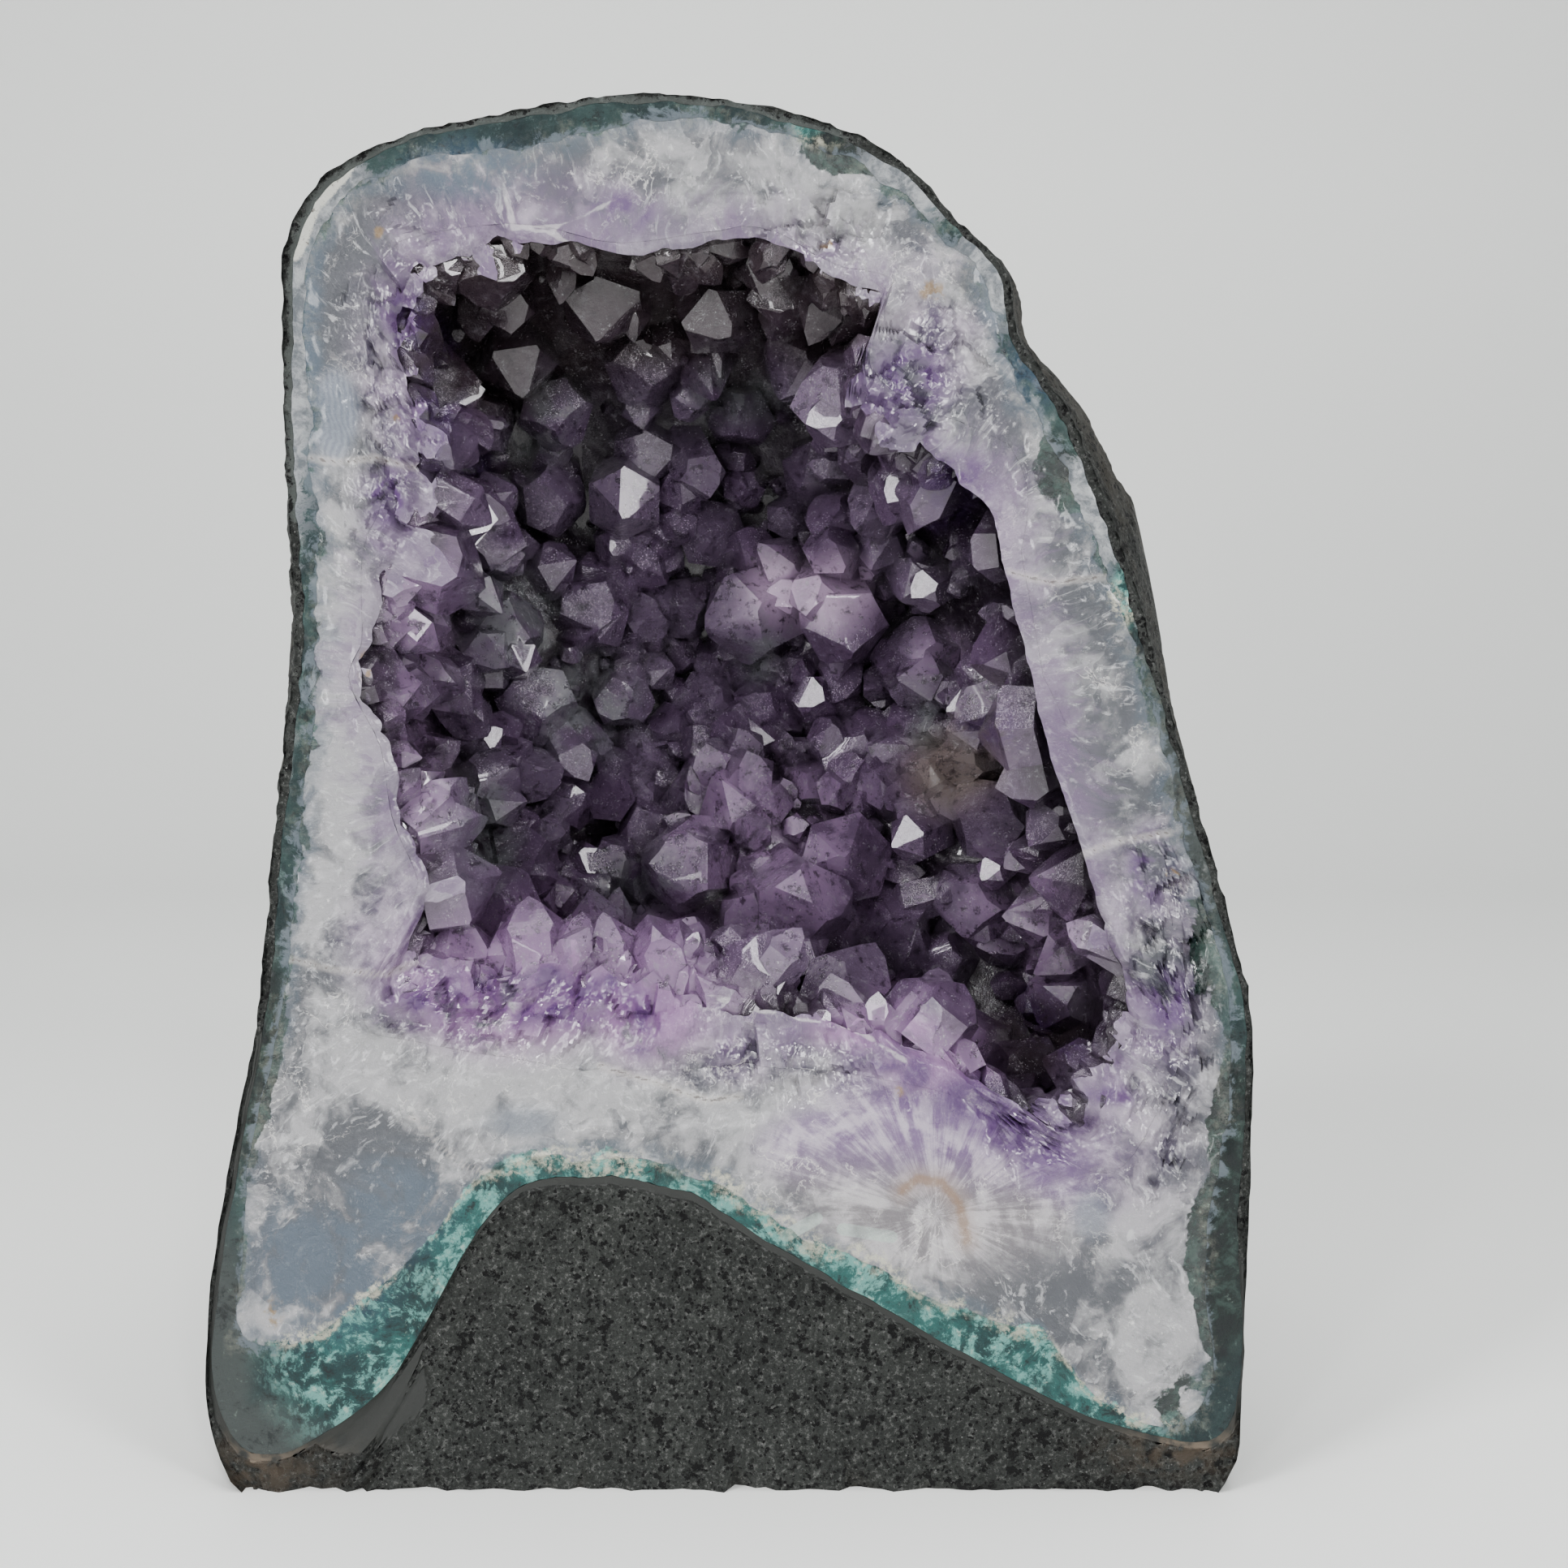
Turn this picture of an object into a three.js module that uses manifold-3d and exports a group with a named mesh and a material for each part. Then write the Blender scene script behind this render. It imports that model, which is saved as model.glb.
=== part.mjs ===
// Amethyst cathedral geode: a hollow quartz geode in a block of basalt, cut and polished across the
// front and cut flat underneath. Millimetres, +Z up, the polished front faces -Y and leans back.
import * as THREE from 'three';
import { mergeVertices } from 'three/addons/utils/BufferGeometryUtils.js';
import Module from 'manifold-3d';

// Driving dimensions
const LEAN = THREE.MathUtils.degToRad(4.5);
const CENTRE = { x: -3, z: 158 };
const DROP_PER_DEPTH = 0.12;
const GAP = 0.3;
const SKIN_DEPTH = 132;
const RIND_DEPTH = 117;
const QUARTZ_DEPTH = 114;
const LINING_DEPTH = 90;
const HOLLOW_DEPTH = 86;
const SPOKE_STEP = 7.5;
const FINE_SPOKES = { from: 232.5, to: 255, step: 2.5 };
const LINING_RINGS = 5;
const FRONT_REACH = 8;
const SEED = 11;

// Outlines on the polished front, x and z, counter-clockwise from the lower right
const SKIN_EDGE = [
  [99, 6], [101, 52], [102, 91], [99, 104], [92, 130], [86, 150], [78, 178], [66, 209], [56, 224],
  [54, 236], [44, 246], [34, 257], [18, 265], [0, 269], [-22, 270], [-41, 267], [-63, 262], [-77, 255],
  [-85, 243], [-86, 232], [-85, 185], [-84, 167], [-88, 130], [-92, 89], [-97, 64], [-101, 37],
  [-102, 18], [-99, 5], [-95, -30], [-72, -78], [0, -98], [72, -78], [95, -30],
];
const RIND_EDGE = [
  [93, 10], [98, 16], [99, 52], [100, 91], [97, 105], [90, 130], [83, 154], [76, 178], [65, 206],
  [54, 224], [52, 236], [43, 245], [34, 254], [17, 263], [0, 267], [-22, 268], [-41, 265], [-63, 260],
  [-76, 253], [-83, 241], [-84, 230], [-83, 185], [-82, 167], [-86, 130], [-90, 89], [-95, 64],
  [-99, 37], [-100, 20], [-94, 8], [-85, 8], [-67, 20], [-58, 34], [-47, 53], [-38, 60], [-12, 59],
  [8, 48], [24, 39], [40, 30], [71, 14],
];
const QUARTZ_EDGE = [
  [88, 12], [94, 22], [92, 42], [96, 65], [98, 85], [95, 106], [88, 128], [82, 153], [74, 176],
  [63, 204], [52, 224], [50, 235], [41, 243], [32, 252], [16, 261], [-1, 265], [-22, 264], [-41, 260],
  [-62, 257], [-74, 251], [-81, 240], [-82, 228], [-80, 185], [-80, 165], [-83, 130], [-86, 98],
  [-90, 78], [-95, 50], [-94, 30], [-86, 27], [-72, 36], [-58, 49], [-48, 61], [-31, 64], [-12, 63],
  [8, 52], [26, 44], [42, 36], [62, 29], [72, 17],
];
const MOUTH_EDGE = [
  [65, 73], [73, 86], [75, 99], [70, 111], [68, 124], [62, 142], [57, 162], [53, 178], [50, 190],
  [43, 196], [32, 203], [25, 211], [26, 222], [29, 229], [21, 233], [7, 241], [-4, 240], [-19, 238],
  [-36, 240], [-48, 238], [-59, 234], [-62, 222], [-58, 206], [-58, 188], [-63, 178], [-67, 165],
  [-70, 158], [-64, 145], [-62, 132], [-57, 118], [-62, 101], [-50, 99], [-24, 99], [-6, 96],
  [20, 93], [38, 88], [52, 79],
];

// How far each layer swells behind its front edge, by direction: degrees and millimetres
const SKIN_SWELL = [[0, 12], [25, 20], [60, 12], [90, 8], [130, 8], [180, 12], [220, 6], [270, 0], [330, 4]];
const QUARTZ_SWELL = [[0, 7], [25, 13], [60, 6], [90, 3], [130, 3], [180, 6], [220, 1], [270, -4], [330, -1]];
const HOLLOW_SWELL = [[0, 9], [60, 10], [90, 9], [180, 8], [225, 4], [270, 3], [315, 9]];

// Width of the crystal layer where the front cuts through it, by direction: degrees and millimetres
const LINING_WIDTH = [
  [0, 2.5], [22, 4], [38, 12], [55, 8], [75, 3], [105, 3], [125, 8], [140, 12], [158, 9], [175, 3],
  [215, 3], [226, 14], [250, 18], [275, 12], [300, 13], [325, 16], [345, 12], [352, 5],
];

// Mounds of crystals on the back wall, as seen from the front: x, z, height, spread
const MOUNDS = [
  [8, 126, 24, 22], [18, 180, 15, 14], [46, 120, 10, 16], [-38, 168, 9, 20],
];

// Large crystals that stand out, where they show in the mouth: x, z, radius, length
const LARGE_CRYSTALS = [
  [10, 181, 11, 20], [21, 180, 10, 17], [40, 169, 9, 12], [38, 156, 8, 10], [42, 147, 9, 11],
  [-4, 128, 10, 19], [10, 124, 12, 22], [22, 131, 11, 20], [26, 115, 10, 18], [2, 140, 9, 12],
  [48, 123, 10, 12], [60, 118, 8, 10], [66, 100, 8, 10], [-48, 213, 9, 11], [-57, 135, 8, 9],
];
const CRYSTAL_SPACING = 17.5;
const CRYSTAL_RADIUS = [8, 11.5];
const CRYSTAL_TRIES = 2600;
const ROOT_DEPTH = 2;

const wasm = await Module();
wasm.setup();

// Repeatable random numbers from 0 to 1
function seededRandom(seed) {
  let state = seed;
  return () => {
    state = (state * 1664525 + 1013904223) % 4294967296;
    return state / 4294967296;
  };
}

// A closed outline as a distance from the centre for any direction
function edgeRadius(outline) {
  const corners = outline.map(([x, z]) => new THREE.Vector3(x - CENTRE.x, 0, z - CENTRE.z));
  const curve = new THREE.CatmullRomCurve3(corners, true, 'centripetal');
  const knots = curve.getPoints(corners.length * 5).slice(0, -1);
  return interpolator(knots.map((p) => [Math.atan2(p.z, p.x), Math.hypot(p.x, p.z)]));
}

// Values between knots given as angle and value, angles in radians, going round without a seam
function interpolator(knots) {
  const turn = 2 * Math.PI;
  const sorted = knots.map(([a, v]) => [((a % turn) + turn) % turn, v]).sort((p, q) => p[0] - q[0]);
  const last = sorted.at(-1);
  const ring = [[last[0] - turn, last[1]], ...sorted, [sorted[0][0] + turn, sorted[0][1]]];
  return (angle) => {
    const a = ((angle % turn) + turn) % turn;
    const i = ring.findIndex((knot) => knot[0] > a);
    const [a0, v0] = ring[i - 1];
    const [a1, v1] = ring[i];
    return v0 + ((v1 - v0) * (a - a0)) / (a1 - a0);
  };
}

function swellByDirection(knots) {
  return interpolator(knots.map(([degrees, mm]) => [THREE.MathUtils.degToRad(degrees), mm]));
}

// A dome that starts at an outline on the front and closes at the back
function dome(edge, swell, depth, inset = 0) {
  return (angle, phi, lump = 0) => {
    const t = Math.sin(phi);
    const radius = (edge(angle) - inset) * Math.cos(phi) + swell(angle) * 4 * t * (1 - t) + lump;
    const y = (depth - inset) * t;
    return new THREE.Vector3(
      CENTRE.x + radius * Math.cos(angle),
      y,
      CENTRE.z - DROP_PER_DEPTH * y + radius * Math.sin(angle),
    );
  };
}

// Broad natural unevenness of the rough skin, none at the front edge and the pole
function skinLump(angle, phi) {
  const wave = Math.sin(5 * angle + 4 * phi) + Math.sin(9 * angle - 7 * phi + 1) + Math.sin(3 * angle + 9 * phi + 2);
  return 1.1 * wave * Math.sin(2 * phi);
}

// Directions in which every outline is measured, closer together at the narrow left foot
function spokeAngles() {
  const angles = [];
  for (let a = 0; a < 360; a += SPOKE_STEP) angles.push(a);
  for (let a = FINE_SPOKES.from; a <= FINE_SPOKES.to; a += FINE_SPOKES.step) angles.push(a);
  const distinct = [...new Set(angles)].sort((p, q) => p - q);
  return distinct.map(THREE.MathUtils.degToRad);
}

// The closed space inside a dome, turned on a lathe and then shaped; reach carries it past the front
function domeSolid(surface, rings, reach = 0, lump = () => 0) {
  const steps = [];
  for (let i = rings; i >= 0; i--) steps.push((Math.PI / 2) * (i / rings));
  if (reach > 0) steps.push(0);
  const profile = steps.map((phi, i) => new THREE.Vector2(i === 0 ? 0 : 1, i));
  profile.push(new THREE.Vector2(0, steps.length));
  const geometry = new THREE.LatheGeometry(profile, SPOKES.length);
  const position = geometry.attributes.position;
  for (let i = 0; i < position.count; i++) {
    const row = i % profile.length;
    const angle = SPOKES[Math.floor(i / profile.length) % SPOKES.length];
    const atFront = row > rings;
    const p = atFront ? surface(angle, 0) : surface(angle, steps[row], lump(angle, steps[row]));
    if (atFront) p.y = -reach;
    if (row === profile.length - 1) p.set(CENTRE.x, -reach, CENTRE.z);
    position.setXYZ(i, p.x, p.y, p.z);
  }
  return toSolid(geometry);
}

function toSolid(geometry) {
  const bare = geometry.clone();
  bare.deleteAttribute('normal');
  bare.deleteAttribute('uv');
  const merged = mergeVertices(bare, 1e-4);
  const triangles = [];
  const index = merged.index.array;
  for (let i = 0; i < index.length; i += 3) {
    const [a, b, c] = [index[i], index[i + 1], index[i + 2]];
    if (a !== b && b !== c && c !== a) triangles.push(a, b, c);
  }
  const mesh = new wasm.Mesh({
    numProp: 3,
    vertProperties: new Float32Array(merged.attributes.position.array),
    triVerts: new Uint32Array(triangles),
  });
  return new wasm.Manifold(mesh);
}

function toGeometry(solid) {
  const mesh = solid.getMesh();
  const geometry = new THREE.BufferGeometry();
  geometry.setAttribute('position', new THREE.BufferAttribute(new Float32Array(mesh.vertProperties), 3));
  geometry.setIndex(new THREE.BufferAttribute(new Uint32Array(mesh.triVerts), 1));
  geometry.computeVertexNormals();
  return geometry;
}

// A six-sided crystal with a blunt point; the point sits a little off the axis
function crystal(random, radius, length) {
  const tip = radius * (0.95 + 0.3 * random());
  const shoulder = Math.max(length - tip, 0.5);
  const profile = [
    new THREE.Vector2(0, -ROOT_DEPTH),
    new THREE.Vector2(radius * 0.9, -ROOT_DEPTH),
    new THREE.Vector2(radius, shoulder),
    new THREE.Vector2(0, shoulder + tip),
  ];
  const geometry = new THREE.LatheGeometry(profile, 6);
  const position = geometry.attributes.position;
  const lean = new THREE.Vector2(random() - 0.5, random() - 0.5).multiplyScalar(0.35 * radius);
  for (let i = 0; i < position.count; i++) {
    if (i % profile.length === 3) position.setXYZ(i, lean.x, position.getY(i), lean.y);
  }
  geometry.rotateY(random() * Math.PI);
  return geometry;
}

const SPOKES = spokeAngles();
const skinEdge = edgeRadius(SKIN_EDGE);
const rindEdge = edgeRadius(RIND_EDGE);
const quartzEdge = edgeRadius(QUARTZ_EDGE);
const mouthEdge = edgeRadius(MOUTH_EDGE);
const quartzSwell = swellByDirection(QUARTZ_SWELL);
const hollowSwell = swellByDirection(HOLLOW_SWELL);
const half = GAP / 2;
const liningWidth = swellByDirection(LINING_WIDTH);
const liningEdge = (angle) => mouthEdge(angle) + liningWidth(angle);
const liningSwell = (angle) => hollowSwell(angle) - liningWidth(angle) * 0.5;
const openDome = dome(mouthEdge, hollowSwell, HOLLOW_DEPTH);

// The wall of the hollow, with mounds pushed forward on its back
function hollow(angle, phi) {
  const p = openDome(angle, phi);
  const deep = THREE.MathUtils.smoothstep(p.y, 0.3 * HOLLOW_DEPTH, 0.8 * HOLLOW_DEPTH);
  for (const [x, z, height, spread] of MOUNDS) {
    p.y -= deep * height * Math.exp(-((p.x - x) ** 2 + (p.z - z) ** 2) / spread ** 2);
  }
  return p;
}

function inwardNormal(angle, phi) {
  const step = 0.02;
  const along = hollow(angle + step, phi).sub(hollow(angle - step, phi));
  const across = hollow(angle, phi + step).sub(hollow(angle, phi - step));
  const normal = new THREE.Vector3().crossVectors(across, along).normalize();
  const toCentre = new THREE.Vector3(CENTRE.x, HOLLOW_DEPTH * 0.25, CENTRE.z).sub(hollow(angle, phi));
  return normal.dot(toCentre) < 0 ? normal.negate() : normal;
}

// Where a spot seen in the mouth by an eye in front of it lands on the wall of the hollow
function wallSpotBehind(x, z) {
  const eye = new THREE.Vector3(10, -390, 200);
  let best = { miss: Infinity };
  for (let i = 0; i < 180; i++) {
    for (let k = 2; k < 45; k++) {
      const angle = (i * Math.PI) / 90;
      const phi = (k * Math.PI) / 92;
      const p = hollow(angle, phi);
      const share = -eye.y / (p.y - eye.y);
      const miss = Math.hypot(eye.x + (p.x - eye.x) * share - x, eye.z + (p.z - eye.z) * share - z);
      if (miss < best.miss) best = { miss, angle, phi, point: p };
    }
  }
  return best;
}

function placeCrystal(random, spot, radius, length) {
  const wander = new THREE.Vector3(random() - 0.5, random() - 0.5, random() - 0.5).multiplyScalar(0.7);
  const axis = inwardNormal(spot.angle, spot.phi).add(wander).normalize();
  const geometry = crystal(random, radius, length);
  geometry.applyQuaternion(new THREE.Quaternion().setFromUnitVectors(new THREE.Vector3(0, 1, 0), axis));
  geometry.translate(spot.point.x, spot.point.y, spot.point.z);
  return toSolid(geometry);
}

function growCrystals() {
  const random = seededRandom(SEED);
  const spots = [];
  for (const [x, z, radius, length] of LARGE_CRYSTALS) {
    spots.push({ ...wallSpotBehind(x, z), radius, length });
  }
  for (let i = 0; i < CRYSTAL_TRIES; i++) {
    const angle = random() * 2 * Math.PI;
    const phi = Math.acos(1 - random());
    const point = hollow(angle, phi);
    const crowded = spots.some((s) => s.point.distanceTo(point) < CRYSTAL_SPACING);
    if (crowded) continue;
    const radius = CRYSTAL_RADIUS[0] + random() * (CRYSTAL_RADIUS[1] - CRYSTAL_RADIUS[0]);
    spots.push({ angle, phi, point, radius, length: radius * (1.15 + 0.6 * random()) });
  }
  return spots.map((s) => placeCrystal(random, s, s.radius, s.length));
}

// The lining's closed space less the open hollow, which the crystals reach into
function amethystCrust() {
  const lining = domeSolid(dome(liningEdge, liningSwell, LINING_DEPTH, half), LINING_RINGS);
  const open = domeSolid(hollow, LINING_RINGS, FRONT_REACH);
  const crystals = growCrystals().reduce((sum, grown) => sum.add(grown));
  const spaces = open.subtract(crystals).decompose();
  const main = spaces.reduce((most, space) => (space.volume() > most.volume() ? space : most));
  return lining.subtract(main);
}

function layer(edge, swell, depth, rings, insideEdge, insideSwell, insideDepth, insideRings, lump) {
  const outside = domeSolid(dome(edge, swell, depth, half), rings, 0, lump);
  const inside = domeSolid(dome(insideEdge, insideSwell, insideDepth, -half), insideRings, FRONT_REACH);
  return outside.subtract(inside);
}

const skinSwell = swellByDirection(SKIN_SWELL);
const basalt = layer(skinEdge, skinSwell, SKIN_DEPTH, 7, rindEdge, quartzSwell, RIND_DEPTH, 5, skinLump);
const rind = layer(rindEdge, quartzSwell, RIND_DEPTH, 5, quartzEdge, quartzSwell, QUARTZ_DEPTH, 5);
const quartz = layer(quartzEdge, quartzSwell, QUARTZ_DEPTH, 5, liningEdge, liningSwell, LINING_DEPTH, LINING_RINGS);

const belowFloor = toSolid(new THREE.BoxGeometry(600, 600, 200).translate(0, 0, -100));
const group = new THREE.Group();
group.name = 'amethyst_cathedral_geode';

function addPart(name, solid, colour, roughness) {
  const standing = toSolid(toGeometry(solid).rotateX(-LEAN)).subtract(belowFloor);
  const material = new THREE.MeshStandardMaterial({ color: colour, roughness, metalness: 0 });
  const mesh = new THREE.Mesh(toGeometry(standing), material);
  mesh.name = name;
  group.add(mesh);
}

addPart('basalt_shell', basalt, 0x34363a, 0.9);
addPart('green_rind', rind, 0x7d9488, 0.7);
addPart('quartz_wall', quartz, 0xb9b5ba, 0.3);
addPart('amethyst_crust', amethystCrust(), 0x6d568f, 0.15);

// The origin is under the middle of the geode, on the floor
const middle = new THREE.Box3().setFromObject(group).getCenter(new THREE.Vector3());
for (const mesh of group.children) mesh.geometry.translate(-middle.x, -middle.y, 0);

export default group;
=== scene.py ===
# Amethyst cathedral geode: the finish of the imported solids, a plain pale studio and the camera.
import math
import random
from contextlib import contextmanager
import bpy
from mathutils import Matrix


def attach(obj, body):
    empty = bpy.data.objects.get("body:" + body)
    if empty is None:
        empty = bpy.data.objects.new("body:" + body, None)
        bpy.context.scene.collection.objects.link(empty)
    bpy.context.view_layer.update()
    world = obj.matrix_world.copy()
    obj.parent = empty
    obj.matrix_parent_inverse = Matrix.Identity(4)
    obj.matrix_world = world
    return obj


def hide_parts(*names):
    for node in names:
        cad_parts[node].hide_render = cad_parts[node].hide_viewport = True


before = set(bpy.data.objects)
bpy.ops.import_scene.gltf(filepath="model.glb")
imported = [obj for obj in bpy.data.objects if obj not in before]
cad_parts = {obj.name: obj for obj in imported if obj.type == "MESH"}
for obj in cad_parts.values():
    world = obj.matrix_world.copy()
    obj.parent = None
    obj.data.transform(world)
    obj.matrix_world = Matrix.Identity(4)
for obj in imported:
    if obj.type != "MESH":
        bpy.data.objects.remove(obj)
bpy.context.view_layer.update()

from types import SimpleNamespace

import bmesh
import bpy
import numpy as np
from mathutils import Matrix, Vector, noise
from mathutils.kdtree import KDTree

# Real sizes in millimetres, in the frame of the polished front before it leans back:
# x to the right, y into the stone, z up the front
MM = 0.001
LEAN = math.radians(4.5)
CENTRE = (-3.0, 158.0)
DROP_PER_DEPTH = 0.12
ORIGIN_SHIFT = (0.17, 71.3)
GAP = 0.3
CORNER_ROUNDING = 6
SKIN_DEPTH = 132
RIND_DEPTH = 117
QUARTZ_DEPTH = 114
LINING_DEPTH = 90
HOLLOW_DEPTH = 86

SKIN_EDGE = [
    (99, 6), (101, 52), (102, 91), (99, 104), (92, 130), (86, 150), (78, 178), (66, 209), (56, 224),
    (54, 236), (44, 246), (34, 257), (18, 265), (0, 269), (-22, 270), (-41, 267), (-63, 262),
    (-77, 255), (-85, 243), (-86, 232), (-85, 185), (-84, 167), (-88, 130), (-92, 89), (-97, 64),
    (-101, 37), (-102, 18), (-99, 5), (-95, -30), (-72, -78), (0, -98), (72, -78), (95, -30),
]
RIND_EDGE = [
    (93, 10), (98, 16), (99, 52), (100, 91), (97, 105), (90, 130), (83, 154), (76, 178), (65, 206),
    (54, 224), (52, 236), (43, 245), (34, 254), (17, 263), (0, 267), (-22, 268), (-41, 265),
    (-63, 260), (-76, 253), (-83, 241), (-84, 230), (-83, 185), (-82, 167), (-86, 130), (-90, 89),
    (-95, 64), (-99, 37), (-100, 20), (-94, 8), (-85, 8), (-67, 20), (-58, 34), (-47, 53),
    (-38, 60), (-12, 59), (8, 48), (24, 39), (40, 30), (71, 14),
]
QUARTZ_EDGE = [
    (88, 12), (94, 22), (92, 42), (96, 65), (98, 85), (95, 106), (88, 128), (82, 153), (74, 176),
    (63, 204), (52, 224), (50, 235), (41, 243), (32, 252), (16, 261), (-1, 265), (-22, 264),
    (-41, 260), (-62, 257), (-74, 251), (-81, 240), (-82, 228), (-80, 185), (-80, 165),
    (-83, 130), (-86, 98), (-90, 78), (-95, 50), (-94, 30), (-86, 27), (-72, 36), (-58, 49),
    (-48, 61), (-31, 64), (-12, 63), (8, 52), (26, 44), (42, 36), (62, 29), (72, 17),
]
MOUTH_EDGE = [
    (65, 73), (73, 86), (75, 99), (70, 111), (68, 124), (62, 142), (57, 162), (53, 178), (50, 190),
    (43, 196), (32, 203), (25, 211), (26, 222), (29, 229), (21, 233), (7, 241), (-4, 240),
    (-19, 238), (-36, 240), (-48, 238), (-59, 234), (-62, 222), (-58, 206), (-58, 188),
    (-63, 178), (-67, 165), (-70, 158), (-64, 145), (-62, 132), (-57, 118), (-62, 101),
    (-50, 99), (-24, 99), (-6, 96), (20, 93), (38, 88), (52, 79),
]
# Degrees round the centre and millimetres
SKIN_SWELL = [(0, 12), (25, 20), (60, 12), (90, 8), (130, 8), (180, 12), (220, 6), (270, 0), (330, 4)]
QUARTZ_SWELL = [(0, 7), (25, 13), (60, 6), (90, 3), (130, 3), (180, 6), (220, 1), (270, -4), (330, -1)]
HOLLOW_SWELL = [(0, 9), (60, 10), (90, 9), (180, 8), (225, 4), (270, 3), (315, 9)]
LINING_WIDTH = [
    (0, 2.5), (22, 4), (38, 12), (55, 8), (75, 3), (105, 3), (125, 8), (140, 12), (158, 9), (175, 3),
    (215, 3), (226, 14), (250, 18), (275, 12), (300, 13), (325, 16), (345, 12), (352, 5),
]
# Mounds of crystals on the back wall: x, z, height, spread
MOUNDS = [(8, 126, 24, 22), (18, 180, 15, 14), (46, 120, 10, 16), (-38, 168, 9, 20)]

# Large crystals, where they show in the mouth: x, z, radius, length
LARGE_CRYSTALS = [
    (10, 181, 11, 20), (21, 180, 10, 17), (40, 169, 9, 12), (38, 156, 8, 10), (42, 147, 9, 11),
    (-4, 128, 10, 19), (10, 124, 12, 22), (22, 131, 11, 20), (26, 115, 10, 18), (2, 140, 9, 12),
    (48, 123, 10, 12), (60, 118, 8, 10), (66, 100, 8, 10), (-48, 213, 9, 11), (-57, 135, 8, 9),
]
CRYSTAL_SPACING = 17.5
CRYSTAL_RADIUS = (7, 10)
CRYSTAL_TRIES = 2600
ROOT_DEPTH = 2
BLUNTNESS = 0.8
FRONT_CLEARANCE = 0.7
SEED = 11
EYE = (10, -390, 200)

# Crystals with a bright face: x, z, radius
GLINTS = [
    (-19, 204, 9), (-10, 198, 5), (-24, 193, 5), (-9, 222, 4.5), (23, 224, 4.5), (30, 226, 4), (28, 214, 6),
    (44, 183, 5), (19, 161, 6), (39, 134, 6), (55, 127, 4), (15, 109, 4), (-2, 128, 4), (-57, 215, 5),
    (38, 203, 5), (-42, 170, 5), (2, 152, 4.5), (50, 160, 4.5), (-50, 150, 4), (-30, 130, 5),
]

# The photo's view and the two windows in the row frame: metres, but the aim and distance in millimetres
PHOTO_SIZE = 1932
FOCAL_PX = 2400
PITCH = math.radians(5.5)
AIM = (10.5, -60.65, 136.9)
DISTANCE = 374.5
PHOTO_EYE = (
    AIM[0] * MM,
    (AIM[1] - DISTANCE * math.cos(PITCH)) * MM,
    (AIM[2] + DISTANCE * math.sin(PITCH)) * MM,
)
WINDOW_LEFT = (-0.9, -0.8, 0.9)
WINDOW_RIGHT = (0.8, -0.9, 0.7)
MIDDLE_OF_GEODE = (0, 0, 0.13)

# Points along the lower lip: x and z of the tip, radius
LEDGE_TIPS = [
    (-58.7, 102, 5), (-53.2, 112, 6), (-45.3, 110, 5), (-39.8, 115, 6), (-35.1, 109, 4.5),
    (-29, 112, 5), (-24.9, 112, 5), (-16.2, 111.5, 5.5), (-9.9, 110.7, 5), (-4.4, 106.7, 5),
    (1.1, 104.4, 6), (20, 99.7, 8), (31.8, 93.8, 8), (42.8, 92.6, 8), (53.1, 80, 6), (64.9, 77.6, 5),
]
LEDGE_LENGTH = 15
LEDGE_FRONT_COUNT = 130
LIP_COUNT = 190

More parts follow.
